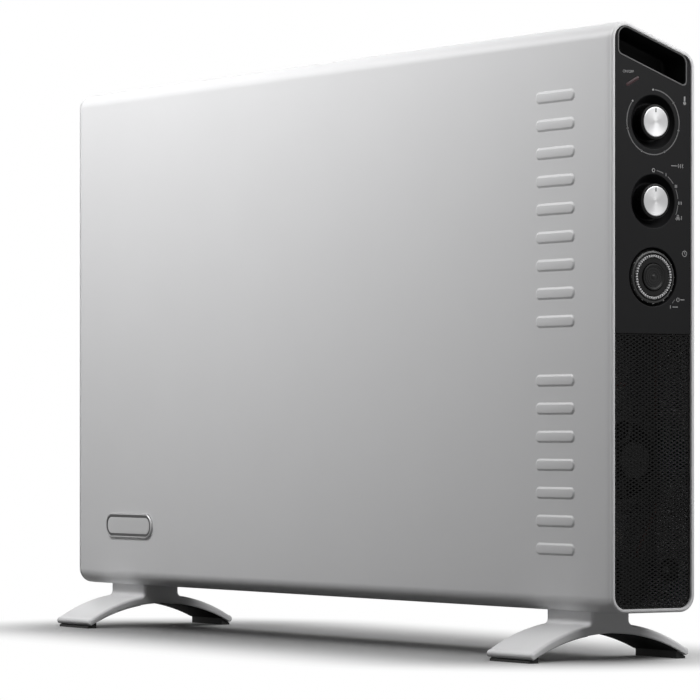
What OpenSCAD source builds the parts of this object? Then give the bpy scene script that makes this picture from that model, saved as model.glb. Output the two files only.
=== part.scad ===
// Electric convector heater, free-standing, with its controls on the right end.
// Origin: centre of the footprint on the floor. +X towards the controls, -Y is the front, +Z up.
// All sizes are in millimetres. Places inside the casing are measured from the casing's own
// frame: x from its middle, y from its middle, z from its underside.

/* [Casing] */
// Width of the casing
body_w = 786; // [640:2:1000]
// Height of the casing at its highest line
body_h = 425; // [400:1:520]
// Depth of the casing
body_d = 75; // [72:1:90]
// Radius of the four long edges
corner_r = 12.5; // [10:0.5:15]
// Fall of the top towards the back, in degrees
top_slope = 20; // [12:1:24]
// Thickness of the front and rear sheets
shell_t = 1; // [0.8:0.1:1.6]
// Straight run of a sheet past its rounded edge
lip_run = 4.5; // [4:0.5:6]
// Height of the casing's underside above the floor
floor_gap = 36; // [32:1:50]

/* [End frames] */
// Width of the rim seen round each end
rim_w = 3.4; // [3:0.1:5]
// Length of casing that an end frame covers
frame_len = 5; // [4:0.5:8]
// Radius of the rolled outer edge of the rim
edge_r = 2.6; // [1.5:0.1:2.8]
// Length of the flange that slides into the sheets
flange_len = 8; // [5:1:12]

/* [End panels] */
// Thickness of the moulded end panels
panel_t = 2.5; // [2:0.1:3]
// How far an end panel lies behind the rim
panel_recess = 1; // [0.5:0.1:1.5]
// Height of the upper end panel, down from the highest line
panel_h = 224; // [216:1:240]
// Gap round a panel that drops into a frame
panel_gap = 0.2; // [0.1:0.05:0.4]
// Thickness of the perforated side panels
mesh_t = 1.2; // [0.8:0.1:1.6]
// Width of one hole in a side panel
mesh_hole = 4.4; // [3:0.1:4.8]
// Distance between the holes of a side panel
mesh_pitch = 6.6; // [6:0.1:9]

/* [Grips] */
// Distance of the grip recess from the panel's front edge
grip_front = 3.5; // [2.5:0.1:6]
// Distance of the grip recess from the panel's back edge
grip_back = 4.5; // [2.5:0.1:7]
// Height of the grip recess
grip_h = 20.4; // [18:0.2:24]
// Depth of the grip recess
grip_deep = 24; // [18:1:30]
// Thickness of the grip cup's walls
grip_wall = 1.6; // [1.2:0.1:2.2]

/* [Controls] */
// Thermostat knob below the highest line
thermostat_drop = 71.5; // [70:0.5:76]
// Distance from the thermostat knob to the selector knob
selector_pitch = 57; // [54:0.5:58]
// Distance from the selector knob to the timer
timer_pitch = 54.5; // [53:0.5:58]
// How far the knob caps stand out past the rim
knob_proud = 2.5; // [1:0.5:6]
// Radius of a knob
knob_r = 12.8; // [11:0.1:13.2]
// Radius of the bright cap in a knob
cap_r = 10.8; // [8:0.1:10.9]
// Radius of a dished well at the panel's surface
dish_r = 19.3; // [18.5:0.1:20.5]
// Radius of a dished well at its floor
dish_floor_r = 14.6; // [14.2:0.1:16]
// Depth of a dished well
dish_deep = 8; // [6:0.5:9]
// Radius of the timer's well
timer_well_r = 21.2; // [20.6:0.1:22.5]
// Radius of the timer's dial
timer_dial_r = 19.8; // [19:0.1:20.2]
// Radius of the timer's ring of tappets, outside
tappet_r = 16.9; // [16:0.1:17.4]
// Radius of the timer's centre knob
timer_knob_r = 9.6; // [8:0.1:10.5]

/* [Shafts] */
// Radius of the thermostat and selector shafts
shaft_r = 3; // [2.5:0.1:3.5]
// Radius of the thin shafts of the timer and the fan
thin_shaft_r = 1.5; // [1.2:0.1:1.8]
// Clearance of a shaft in its bearing, on the radius
bearing_gap = 0.05; // [0.02:0.01:0.1]
// Gap between moving pieces that don't bear on each other
run_gap = 0.4; // [0.3:0.05:0.6]

/* [Front relief] */
// Length of one raised bar
bead_len = 49; // [40:1:56]
// Width of one raised bar
bead_w = 9; // [6:0.5:10]
// Height of the bars above the sheet
bead_proud = 1; // [0.4:0.1:1.5]
// Distance between the bars
bead_pitch = 20.5; // [16:0.5:22]
// Width of the badge plate
badge_w = 78; // [60:1:90]
// Height of the badge plate
badge_h = 20.6; // [16:0.2:24]

/* [Feet] */
// Width of a foot
foot_w = 57.3; // [50:0.1:70]
// Distance of a foot's middle from the end of the casing
foot_in = 67.6; // [60:0.1:68]
// Half of a foot's length, front to back
foot_half = 71.5; // [60:0.5:80]
// How far the feet are set in front of the casing's middle
foot_ahead = 9.5; // [0:0.5:12]
// Length of the stem, front to back
stem_l = 34; // [28:1:36]
// Height of the arch's top above the floor
arch_top = 27.5; // [26:0.5:29]
// Thickness of the arch at its middle
arch_t = 7.3; // [6:0.1:8]
// Thickness of the arch at its toes
toe_t = 5.5; // [4:0.1:6]

/* [Heater] */
// Length of the bay at each end, outside the bulkhead
end_bay = 58; // [57:0.5:62]
// Height of the lower element
element_z = 55; // [50:1:60]
// Distance between the two elements
element_pitch = 110; // [106:1:116]
// Radius of an element's tube
tube_r = 4.2; // [3:0.1:5]
// Distance between the fins
fin_pitch = 14; // [10:0.5:20]
// Radius of the cord's hole in its bush
cord_hole_r = 4; // [3:0.1:4.5]
// Distance between the wall holes
wall_hole_pitch = 500; // [300:10:560]
// Radius of a wall hole
wall_hole_r = 3; // [2:0.1:4]

/* [Hidden] */
$fn = 64;

half_w = body_w / 2;
half_d = body_d / 2;
body_x = -knob_proud / 2;
body_y = foot_ahead;
foot_x = half_w - foot_in;
lip_d = corner_r + lip_run;
top_back_z = body_h - corner_r - (body_d - 2 * corner_r) * tan(top_slope);

// Grilles lie under the sheets' lips.
grille_t = 1.8;
grille_under = 4;
slot_w = 4.4;
slot_pitch = 8;

// End panels.
panel_x = half_w - panel_recess;
panel_in = rim_w + panel_gap;
panel_z = body_h - panel_h;
mesh_x = panel_x - 0.5;
mesh_border = 5;
mesh_rows = floor((panel_z - rim_w - 2 * mesh_border) / (mesh_pitch * 0.866));
mesh_cols = floor((body_d - 2 * rim_w - 2 * mesh_border) / mesh_pitch);

// Controls.
thermostat_z = body_h - thermostat_drop;
selector_z = thermostat_z - selector_pitch;
timer_z = selector_z - timer_pitch;
well_wall = 1.5;
cap_t = 1.6;
cap_top = panel_recess + knob_proud;
bracket_deep = dish_deep + well_wall + 4.5;
bracket_t = 1.2;
bracket_back = bracket_deep + bracket_t;
bush_r = shaft_r + 1.6;
switch_deep = 21;
post_r = 3.6;
post_y = half_d - panel_in - post_r - 3.3;
bracket_half = post_y + 4;
post_zs = [(thermostat_z + selector_z) / 2, (selector_z + timer_z) / 2];
screw_r = 1.5;
head_r = 2.9;
head_h = 1.8;
shaft_end = bracket_back + 12;
timer_face = 7;
timer_body_r = 23;
timer_flange_r = 25.5;
timer_back = 34;
spindle_r = thin_shaft_r + 1.9;
groove_gap = 0.3;
groove_in = tappet_r - 2.9;
tappet_travel = 1.5;
tappet_count = 48;
dial_top = 0.4;
dial_rim_drop = 1.8;
groove_deep = 4;

// Inside the casing.
bulk_x = half_w - end_bay;
bulk_t = 1;
bulk_in = shell_t + grille_t + 0.1;
shield_t = 0.5;
shield_off = 7;
shield_low = 20;
shield_high = top_back_z - 25;
element_zs = [element_z, element_z + element_pitch];
terminal_reach = 15;
tube_end = bulk_x + terminal_reach;
collar_r = tube_r + 1.2;
fin_t = 0.8;
fin_d = 46;
fin_h = 34;
fin_half = bulk_x - 30;
fan_z = element_z + element_pitch / 2;
fan_t = 20;
hub_r = 12;
wire_r = 1.5;
wire_y = half_d - shell_t - wire_r - 1.2;
fan_frame_r = wire_y - wire_r - 1.3;
fan_r = fan_frame_r - 2.5;
blade_count = 7;
motor_r = 13;
motor_l = 14;
hub_l = 14;
blade_w = 18;
blade_t = 1.2;
strut_w = 3;
insulator_l = 12;
wall_hole_z = top_back_z - 14;
cord_x = half_w - 27;
cord_z = 30;
screw_zs = [60, 200, top_back_z - 40];
foot_screw_dx = 18;
foot_screw_r = 2.5;
foot_head_r = 5;
foot_head_h = 3;
pad_in = 9.5;
pad_l = 8;
pad_side = 3.5;
toe_gap = 0.8;

function arc(c, r, a0, a1, n = 8) = [for (k = [0:n])
    let (a = a0 + (a1 - a0) * k / n) c + r * [cos(a), sin(a)]];

// Side outline of the casing, as [y, z], drawn in by a distance.
function outline(in) = let (r = corner_r - in) concat(
    arc([-half_d + corner_r, corner_r], r, 180, 270),
    arc([half_d - corner_r, corner_r], r, 270, 360),
    arc([half_d - corner_r, top_back_z], r, 0, 90 - top_slope),
    arc([-half_d + corner_r, body_h - corner_r], r, 90 - top_slope, 180));

// A convex outline with its corners rounded, given counter-clockwise.
function corner(a, b, c, r) = let (
    u = (a - b) / norm(a - b), v = (c - b) / norm(c - b), half = acos(u * v) / 2,
    m = b + (u + v) / norm(u + v) * r / sin(half), s = b + u * r / tan(half) - m,
    a0 = atan2(s[1], s[0])) arc(m, r, a0, a0 + 180 - 2 * half, 6);
function rounded(p, r) = let (n = len(p)) [for (i = [0:n - 1])
    for (q = corner(p[(i + n - 1) % n], p[i], p[(i + 1) % n], r[i])) q];

// Half circles at the two ends of a bar that lies along x.
function bar(l, w) = concat(
    arc([l / 2 - w / 2, 0], w / 2, -90, 90, 10),
    arc([w / 2 - l / 2, 0], w / 2, 90, 270, 10));

// Opening of the grip recess, grown by g, parallel to the sloping top.
grip_y0 = -half_d + panel_in + grip_front;
grip_y1 = half_d - panel_in - grip_back;
grip_margin = 4.7;
function top_line(y) = body_h - corner_r + corner_r / cos(top_slope)
    - tan(top_slope) * (y + half_d - corner_r);
function grip_outline(g) = let (up = top_line(0) - grip_margin + g / cos(top_slope),
    low = top_line(0) - grip_margin - grip_h - g / cos(top_slope), k = tan(top_slope),
    a = grip_y0 - g, b = grip_y1 + g) rounded(
    [[a, low - k * a], [b, low - k * b], [b, up - k * b], [a, up - k * a]], [4 + g, 2 + g, 7 + g, 6 + g]);

// The arch of a foot: a circle through its middle and its toes.
arch_low = arch_top - arch_t;
low_drop = arch_low - toe_gap;
up_drop = arch_top - toe_gap - toe_t;
low_r = (foot_half * foot_half + low_drop * low_drop) / (2 * low_drop);
up_r = (foot_half * foot_half + up_drop * up_drop) / (2 * up_drop);
function low_z(y) = arch_low - low_r + sqrt(low_r * low_r - y * y);
function up_z(y) = arch_top - up_r + sqrt(up_r * up_r - y * y);

module casing_frame() { translate([body_x, body_y, floor_gap]) children(); }
module along_x(x0, x1) { translate([x0, 0, 0]) rotate([90, 0, 90]) linear_extrude(x1 - x0) children(); }
module both_ends() { for (s = [0, 1]) mirror([s, 0, 0]) children(); }
module ring(out, in) { difference() { polygon(outline(out)); polygon(outline(in)); } }
// A shape drawn upwards from the end panel's surface, turned to point out along +x.
module on_panel(z) { translate([panel_x, 0, z]) rotate([0, 90, 0]) children(); }
module tube(r, in, h) {
    difference() {
        cylinder(r = r, h = h);
        translate([0, 0, -1]) cylinder(r = in, h = h + 2);
    }
}
module rod(a, b, r) {
    d = b - a;
    translate(a) rotate([0, acos(d[2] / norm(d)), atan2(d[1], d[0])]) cylinder(r = r, h = norm(d), $fn = 24);
}
module wire(p, r) {
    for (i = [1:len(p) - 1]) rod(p[i - 1], p[i], r);
    for (i = [1:len(p) - 2]) translate(p[i]) sphere(r * 1.08, $fn = 24);
}
module screw(r, l, head_r, head_h) {
    translate([0, 0, -l]) cylinder(r = r, h = l + 0.2, $fn = 32);
    difference() {
        cylinder(r = head_r, h = head_h, $fn = 32);
        for (a = [0, 90]) rotate(a) translate([-head_r * 0.6, -0.4, head_h - 1]) cube([head_r * 1.2, 0.8, 2]);
    }
}

// Casing sheets. Each is a bent sheet whose lips reach over the top and the underside.
module front_shell() {
    color("silver") casing_frame() {
        along_x(-half_w + frame_len, half_w - frame_len) intersection() {
            ring(0, shell_t);
            translate([-half_d - 1, -1]) square([lip_d + 1, body_h + 2]);
        }
        front_beads();
    }
}
// Two columns of raised bars, one above the other, near the right end.
bead_x = half_w - 69.5;
bead_groups = [[45, 7], [211, 9]];
module front_beads() {
    for (g = bead_groups) for (i = [0:g[1] - 1])
        translate([bead_x, -half_d + shell_t / 2, g[0] + i * bead_pitch]) rotate([90, 0, 0])
            linear_extrude(bead_proud + shell_t / 2) polygon(bar(bead_len, bead_w));
}
louvre_zs = [40, 90];
louvre_l = 38;
louvre_count = 36;
louvre_pitch = 2 * (bulk_x - 40) / louvre_count;
module rear_shell() {
    color("gainsboro") casing_frame() difference() {
        along_x(-half_w + frame_len, half_w - frame_len) intersection() {
            ring(0, shell_t);
            translate([half_d - lip_d, -1]) square([lip_d + 1, body_h + 2]);
        }
        for (z = louvre_zs) for (i = [0:louvre_count - 1])
            translate([(i - (louvre_count - 1) / 2) * louvre_pitch - slot_w / 2, half_d - 5, z])
                cube([slot_w, 10, louvre_l]);
        for (s = [-1, 1]) translate([s * wall_hole_pitch / 2, half_d - 5, wall_hole_z]) rotate([-90, 0, 0])
            cylinder(r = wall_hole_r, h = 10);
        translate([cord_x, half_d - 5, cord_z]) rotate([-90, 0, 0]) cylinder(r = cord_bush_r, h = 10);
        rear_screw_places() translate([0, 0, -5]) cylinder(r = screw_r + 0.3, h = 10);
    }
}
module rear_screw_places() {
    for (s = [-1, 1]) for (z = screw_zs)
        translate([s * (bulk_x + 6), half_d, z]) rotate([-90, 0, 0]) children();
}

// Outlet grille in the sloping top and inlet grille in the underside, both under the sheets' lips.
grille_half = half_w - frame_len - flange_len - panel_gap;
module grille_band(from_z) {
    along_x(-grille_half, grille_half) intersection() {
        ring(shell_t, shell_t + grille_t);
        translate([-half_d + lip_d - grille_under, from_z])
            square([body_d - 2 * lip_d + 2 * grille_under, body_h / 2]);
    }
}
top_mid = [0, top_line(0) - (shell_t + grille_t / 2) / cos(top_slope)];
top_slot_l = (body_d - 2 * lip_d) / cos(top_slope) - 4;
module top_grille() {
    color("dimgray") casing_frame() difference() {
        grille_band(body_h / 2);
        for (i = [1:floor(2 * (grille_half - 12) / slot_pitch)])
            translate([-grille_half + 12 + i * slot_pitch - slot_w, 0, top_mid[1]]) rotate([-top_slope, 0, 0])
                translate([0, -top_slot_l / 2, -5]) cube([slot_w, top_slot_l, 10]);
    }
}
base_slot_l = body_d - 2 * lip_d - 4;
base_slot_half = foot_x - foot_w / 2 - 12;
module base_grille() {
    color("dimgray") casing_frame() difference() {
        grille_band(0);
        for (i = [1:floor(2 * base_slot_half / slot_pitch)])
            translate([-base_slot_half + i * slot_pitch - slot_w, -base_slot_l / 2, -1])
                cube([slot_w, base_slot_l, 10]);
        foot_screw_places() cylinder(r = foot_screw_r + 0.2, h = 10);
    }
}

// End frames: a rim with a rolled edge and a flange that carries the ends of the sheets.
// The section is given as [x, distance drawn in from the outline].
module end_frame() {
    inner_x = half_w - frame_len - flange_len;
    section = concat([[inner_x, shell_t], [half_w - frame_len, shell_t], [half_w - frame_len, 0]],
        [for (k = [0:6]) [half_w - edge_r + edge_r * sin(15 * k), edge_r - edge_r * cos(15 * k)]],
        [[half_w, rim_w], [inner_x, rim_w]]);
    n = len(outline(0));
    m = len(section);
    points = [for (s = section) for (p = outline(s[1])) [s[0], p[0], p[1]]];
    faces = [for (j = [0:m - 1]) for (k = [0:n - 1])
        [j * n + k, ((j + 1) % m) * n + k, ((j + 1) % m) * n + (k + 1) % n, j * n + (k + 1) % n]];
    polyhedron(points = points, faces = faces, convexity = 6);
}
module end_frame_right() { color("silver") casing_frame() end_frame(); }
module end_frame_left() { color("silver") casing_frame() mirror([1, 0, 0]) end_frame(); }

// Upper end panels and the cups of the grips.
module upper_panel() {
    along_x(panel_x - panel_t, panel_x) difference() {
        intersection() {
            polygon(outline(panel_in));
            translate([-half_d, panel_z]) square([body_d, body_h]);
        }
        polygon(grip_outline(0));
    }
}
lamp_y = -18.3;
lamp_z = body_h - 42.8;
lamp_tilt = 29;
lamp_l = 13;
lamp_w = 3.2;
module lamp_place() { translate([panel_x, lamp_y, lamp_z]) rotate([90, 0, 90]) rotate(lamp_tilt) children(); }
module control_panel() {
    color([0.16, 0.16, 0.16]) casing_frame() difference() {
        union() {
            upper_panel();
            for (z = [thermostat_z, selector_z]) on_panel(z)
                translate([0, 0, -dish_deep - well_wall])
                    cylinder(r = dish_r + well_wall, h = dish_deep + well_wall - 1);
            on_panel(timer_z) translate([0, 0, 0.2 - timer_face])
                cylinder(r = timer_well_r + well_wall, h = timer_face - 1);
            for (z = post_zs) for (s = [-1, 1]) on_panel(z) translate([0, s * post_y, -bracket_deep])
                cylinder(r = post_r, h = bracket_deep - 1);
        }
        for (z = [thermostat_z, selector_z]) on_panel(z) {
            translate([0, 0, -dish_deep]) cylinder(r1 = dish_floor_r, r2 = dish_r, h = dish_deep);
            translate([0, 0, -0.01]) cylinder(r = dish_r, h = 1);
            translate([0, 0, -20]) cylinder(r = bush_r + 0.3, h = 20);
        }
        on_panel(timer_z) translate([0, 0, -20]) cylinder(r = timer_well_r, h = 22);
        for (z = post_zs) for (s = [-1, 1]) on_panel(z) translate([0, s * post_y, -bracket_deep - 1])
            cylinder(r = screw_r, h = 9, $fn = 32);
        lamp_place() translate([0, 0, -5]) linear_extrude(10) polygon(bar(lamp_l + 0.2, lamp_w + 0.2));
    }
}
module end_cover_left() { color([0.16, 0.16, 0.16]) casing_frame() mirror([1, 0, 0]) upper_panel(); }
module grip_cup() {
    difference() {
        along_x(panel_x - panel_t - grip_deep, panel_x - panel_t) intersection() {
            polygon(grip_outline(grip_wall));
            polygon(outline(panel_in));
        }
        along_x(panel_x - panel_t - grip_deep + grip_wall, panel_x) polygon(grip_outline(0));
    }
}
module grip_cup_right() { color([0.03, 0.03, 0.03]) casing_frame() grip_cup(); }
module grip_cup_left() { color([0.03, 0.03, 0.03]) casing_frame() mirror([1, 0, 0]) grip_cup(); }

// Perforated side panels: a staggered field of six-sided holes inside a plain border.
module side_mesh() {
    along_x(mesh_x - mesh_t, mesh_x) intersection() {
        polygon(outline(panel_in));
        translate([-half_d, 0]) square([body_d, panel_z - panel_gap]);
        difference() {
            translate([-half_d, 0]) square([body_d, panel_z]);
            for (j = [0:mesh_rows - 1]) for (i = [0:mesh_cols - 1 - j % 2])
                translate([(i - (mesh_cols - 1 - j % 2) / 2) * mesh_pitch,
                    (panel_z + rim_w) / 2 + (j - (mesh_rows - 1) / 2) * mesh_pitch * 0.866])
                    if (mesh_clear(i, j)) rotate(30) circle(d = mesh_hole, $fn = 6);
        }
    }
}
// The holes at the two rounded corners are left out.
function mesh_clear(i, j) = j > 0 || (i > 0 && i < mesh_cols - 1);
module side_mesh_right() { color([0.08, 0.08, 0.08]) casing_frame() side_mesh(); }
module side_mesh_left() { color([0.08, 0.08, 0.08]) casing_frame() mirror([1, 0, 0]) side_mesh(); }

// Blank badge: a plate with a raised rim.
badge_x = -half_w + 90.5;
badge_z = 51;
badge_t = 2;
function badge(in) = rounded([for (p = [[-1, -1], [1, -1], [1, 1], [-1, 1]])
    [p[0] * (badge_w / 2 - in), p[1] * (badge_h / 2 - in)]], [for (i = [0:3]) badge_h * 0.42 - in]);
module name_badge() {
    color("darkgray") casing_frame() translate([badge_x, -half_d, badge_z]) rotate([90, 0, 0]) difference() {
        linear_extrude(badge_t) polygon(badge(0));
        translate([0, 0, badge_t - 0.6]) linear_extrude(1) polygon(badge(1.6));
    }
}

// Indicator lens in the panel and its neon lamp behind it.
module indicator_lens() {
    color("darkred") casing_frame() lamp_place() translate([0, 0, -panel_t - 1]) linear_extrude(panel_t + 1.1)
        polygon(bar(lamp_l, lamp_w));
}
module indicator_lamp() {
    color("orange") casing_frame() lamp_place() translate([0, 0, -panel_t - 9])
        cylinder(r = 2.6, h = 8, $fn = 32);
}

// Knobs: a round body with a turned bright cap let into its face.
module knob(z) {
    on_panel(z) difference() {
        rotate_extrude() polygon([[0, run_gap - dish_deep], [knob_r, run_gap - dish_deep],
            [knob_r, cap_top - 1.2], [knob_r - 0.35, cap_top - 0.55],
            [knob_r - 1, cap_top - 0.3], [0, cap_top - 0.3]]);
        translate([0, 0, cap_top - cap_t]) cylinder(r = cap_r, h = 10);
        translate([0, 0, -dish_deep]) cylinder(r = shaft_r, h = dish_deep + cap_top - cap_t - 2);
    }
}
module cap(z) {
    on_panel(z) difference() {
        translate([0, 0, cap_top - cap_t]) union() {
            cylinder(r = cap_r, h = cap_t - 0.4);
            translate([0, 0, cap_t - 0.4]) cylinder(r1 = cap_r, r2 = cap_r - 0.4, h = 0.4);
        }
        translate([-cap_r - 1, -0.45, cap_top - 0.35]) cube([4, 0.9, 1]);
    }
}
module shaft(z) {
    on_panel(z) translate([0, 0, -shaft_end]) cylinder(r = shaft_r, h = shaft_end + cap_top - cap_t - 2);
}
module thermostat_knob() { color([0.05, 0.05, 0.05]) casing_frame() knob(thermostat_z); }
module thermostat_cap() { color("whitesmoke") casing_frame() cap(thermostat_z); }
module thermostat_shaft() { color("slategray") casing_frame() shaft(thermostat_z); }
module selector_knob() { color([0.05, 0.05, 0.05]) casing_frame() knob(selector_z); }
module selector_cap() { color("whitesmoke") casing_frame() cap(selector_z); }
module selector_shaft() { color("slategray") casing_frame() shaft(selector_z); }

// Switch bodies behind the bracket, each with a bush that bears its shaft.
module switch_body(z, w, h, deep) {
    on_panel(z) difference() {
        union() {
            translate([-h / 2, -w / 2, -bracket_back - deep]) cube([h, w, deep]);
            translate([0, 0, -bracket_back - 1])
                cylinder(r = bush_r, h = bracket_back - dish_deep - run_gap - 0.6);
        }
        translate([0, 0, -shaft_end - 1]) cylinder(r = shaft_r + bearing_gap, h = shaft_end + 1);
    }
}
module thermostat_body() {
    color("ivory") casing_frame() {
        switch_body(thermostat_z, 40, 32, switch_deep);
        bulb_tail();
    }
}
// The bulb senses the room air behind the lower part of the end bay, on a thin tube.
bulb_at = [bulk_x + 28, -post_y, fan_z - 20];
bulb_l = 60;
tail_r = 1;
module bulb_tail() {
    x = panel_x - bracket_back - switch_deep;
    wire([[x, -14, thermostat_z - 6], [x - 3, -14, thermostat_z - 6],
        [x - 3, bulb_at[1] - 4, thermostat_z - 16], [x - 3, bulb_at[1] - 4, timer_z - 30],
        [bulb_at[0], bulb_at[1], bulb_at[2] + bulb_l + 8],
        [bulb_at[0], bulb_at[1], bulb_at[2] + bulb_l]], tail_r);
}
module thermostat_bulb() {
    color("goldenrod") casing_frame() translate(bulb_at) cylinder(r = 2.8, h = bulb_l, $fn = 32);
}
module selector_switch() { color("ivory") casing_frame() switch_body(selector_z, 34, 34, switch_deep); }

// Timer: a dial that turns on the movement's spindle, a ring of tappets in the dial's groove,
// and a centre knob on a thin shaft through the spindle.
module timer_dial() {
    color([0.08, 0.08, 0.08]) casing_frame() on_panel(timer_z) difference() {
        rotate_extrude() polygon([[0, run_gap - timer_face], [timer_dial_r - 2, run_gap - timer_face],
            [timer_dial_r, -dial_rim_drop - 1], [timer_dial_r, -dial_rim_drop],
            [tappet_r + groove_gap + 0.5, dial_top], [0, dial_top]]);
        translate([0, 0, dial_top - groove_deep])
            tube(tappet_r + groove_gap, groove_in - groove_gap, groove_deep + 1);
        translate([0, 0, -2]) cylinder(r = timer_knob_r + groove_gap + 0.3, h = 4);
        translate([0, 0, -10]) cylinder(r = spindle_r + bearing_gap, h = 12);
    }
}
module timer_tappets() {
    tooth = [tappet_r - groove_in - 0.15, 1.4, groove_deep - tappet_travel + 0.5];
    color("lightgray") casing_frame() on_panel(timer_z)
        translate([0, 0, dial_top - groove_deep + tappet_travel + 0.3]) {
            tube(tappet_r, groove_in, 1.4);
            for (i = [0:tappet_count - 1]) rotate(i * 360 / tappet_count)
                translate([groove_in + 0.05, -tooth[1] / 2, 0]) cube(tooth);
        }
}
module timer_mode_knob() {
    color([0.1, 0.1, 0.1]) casing_frame() on_panel(timer_z) difference() {
        rotate_extrude() polygon([[0, run_gap - 2], [timer_knob_r, run_gap - 2], [timer_knob_r, 0.6],
            [timer_knob_r - 0.8, 1.4], [timer_knob_r - 2.6, 1.4], [timer_knob_r - 4.4, 0.7], [0, 0.7]]);
        translate([0, 0, -3]) cylinder(r = thin_shaft_r, h = 2.8, $fn = 32);
        translate([-timer_knob_r - 1, -0.4, 0.9]) cube([4, 0.8, 2]);
    }
}
module timer_mode_shaft() {
    color("slategray") casing_frame() on_panel(timer_z) translate([0, 0, -timer_back + 6])
        cylinder(r = thin_shaft_r, h = timer_back - 6 - 0.2, $fn = 32);
}
module timer_movement() {
    color("ivory") casing_frame() on_panel(timer_z) difference() {
        union() {
            translate([0, 0, -timer_back]) cylinder(r = timer_body_r, h = timer_back - timer_face);
            translate([0, 0, -bracket_deep]) cylinder(r = timer_flange_r, h = 2);
            translate([0, 0, -timer_face - 1]) cylinder(r = spindle_r, h = timer_face - 1.4);
        }
        translate([0, 0, -timer_back + 5]) cylinder(r = thin_shaft_r + bearing_gap, h = timer_back, $fn = 32);
    }
}

// Steel bracket behind the panel; it carries the switches and the timer.
bracket_low = timer_z - timer_flange_r - 4.5;
bracket_high = thermostat_z + dish_r + 0.7;
module control_bracket() {
    color("lightsteelblue") casing_frame() difference() {
        translate([panel_x - bracket_back, -bracket_half, bracket_low])
            cube([bracket_t, 2 * bracket_half, bracket_high - bracket_low]);
        for (z = [thermostat_z, selector_z]) through_bracket(z) cylinder(r = bush_r + 0.1, h = bracket_t + 2);
        through_bracket(timer_z) cylinder(r = timer_body_r + 0.2, h = bracket_t + 2);
        for (z = post_zs) for (s = [-1, 1]) through_bracket(z) translate([0, s * post_y, 0])
            cylinder(r = screw_r + 0.1, h = bracket_t + 2, $fn = 32);
    }
}
module through_bracket(z) { on_panel(z) translate([0, 0, -bracket_back - 1]) children(); }
module control_screws() {
    color("silver") casing_frame() for (z = post_zs) for (s = [-1, 1]) on_panel(z)
        translate([0, s * post_y, -bracket_back]) rotate([180, 0, 0]) screw(screw_r, 7, head_r, head_h);
}

// Bulkheads close the heated chamber and are flanged where the sheets screw to them.
module bulkhead(fan) {
    difference() {
        union() {
            along_x(bulk_x, bulk_x + bulk_t) polygon(outline(bulk_in));
            for (s = [0, 1]) mirror([0, s, 0]) translate([bulk_x, half_d - shell_t - bulk_t, corner_r + 12])
                cube([12, bulk_t, top_back_z - corner_r - 24]);
            for (s = [0, 1]) mirror([0, s, 0])
                translate([bulk_x, half_d - shell_t - bulk_t - 2.5, corner_r + 12])
                cube([bulk_t, 3, top_back_z - corner_r - 24]);
        }
        for (z = element_zs) translate([bulk_x - 1, 0, z]) rotate([0, 90, 0])
            cylinder(r = insulator_r, h = 3);
        if (fan) translate([bulk_x - 1, 0, fan_z]) rotate([0, 90, 0]) cylinder(r = fan_r, h = 3);
        for (z = screw_zs) translate([bulk_x + 6, half_d - 8, z]) rotate([-90, 0, 0])
            cylinder(r = screw_r, h = 10, $fn = 32);
    }
}
module bulkhead_right() { color("lightsteelblue") casing_frame() bulkhead(true); }
module bulkhead_left() { color("lightsteelblue") casing_frame() mirror([1, 0, 0]) bulkhead(false); }
module heat_shield(s) {
    color("lightsteelblue") casing_frame()
        translate([-bulk_x, s * (half_d - shell_t - shield_off) - shield_t / 2, shield_low])
            cube([2 * bulk_x, shield_t, shield_high - shield_low]);
}
module heat_shield_front() heat_shield(-1);
module heat_shield_rear() heat_shield(1);

// Heating elements: a sheathed tube through a pack of fins on a collar.
insulator_r = tube_r + 2.4;
module element_tube(z) {
    color("gray") casing_frame() translate([-tube_end, 0, z]) rotate([0, 90, 0])
        cylinder(r = tube_r, h = 2 * tube_end);
}
module element_fins(z) {
    count = floor(2 * fin_half / fin_pitch);
    color("lightgray") casing_frame() translate([0, 0, z]) difference() {
        union() {
            translate([-fin_half, 0, 0]) rotate([0, 90, 0]) cylinder(r = collar_r, h = 2 * fin_half);
            for (i = [0:count]) translate([(i - count / 2) * fin_pitch - fin_t / 2, -fin_d / 2, -fin_h / 2])
                cube([fin_t, fin_d, fin_h]);
        }
        translate([-fin_half - 5, 0, 0]) rotate([0, 90, 0]) cylinder(r = tube_r, h = 2 * fin_half + 10);
    }
}
module lower_tube() element_tube(element_zs[0]);
module lower_fins() element_fins(element_zs[0]);
module upper_tube() element_tube(element_zs[1]);
module upper_fins() element_fins(element_zs[1]);
module element_insulators() {
    color("white") casing_frame() both_ends() for (z = element_zs)
        translate([bulk_x - 4, 0, z]) rotate([0, 90, 0]) difference() {
            union() {
                cylinder(r = insulator_r, h = insulator_l);
                translate([0, 0, 4 + bulk_t]) cylinder(r = insulator_r + 2, h = 3);
            }
            translate([0, 0, -1]) cylinder(r = tube_r, h = insulator_l + 2);
        }
}
module thermal_cutout() {
    color("gray") casing_frame()
        translate([0, half_d - shell_t - shield_off - shield_t / 2, shield_high - 30])
        rotate([90, 0, 0]) {
            translate([-13, -5, 0]) cube([26, 10, 1]);
            cylinder(r = 8, h = 8, $fn = 32);
            for (s = [-1, 1]) translate([s * 4 - 1.5, -0.4, 7.5]) cube([3, 0.8, 6]);
        }
}

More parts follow.
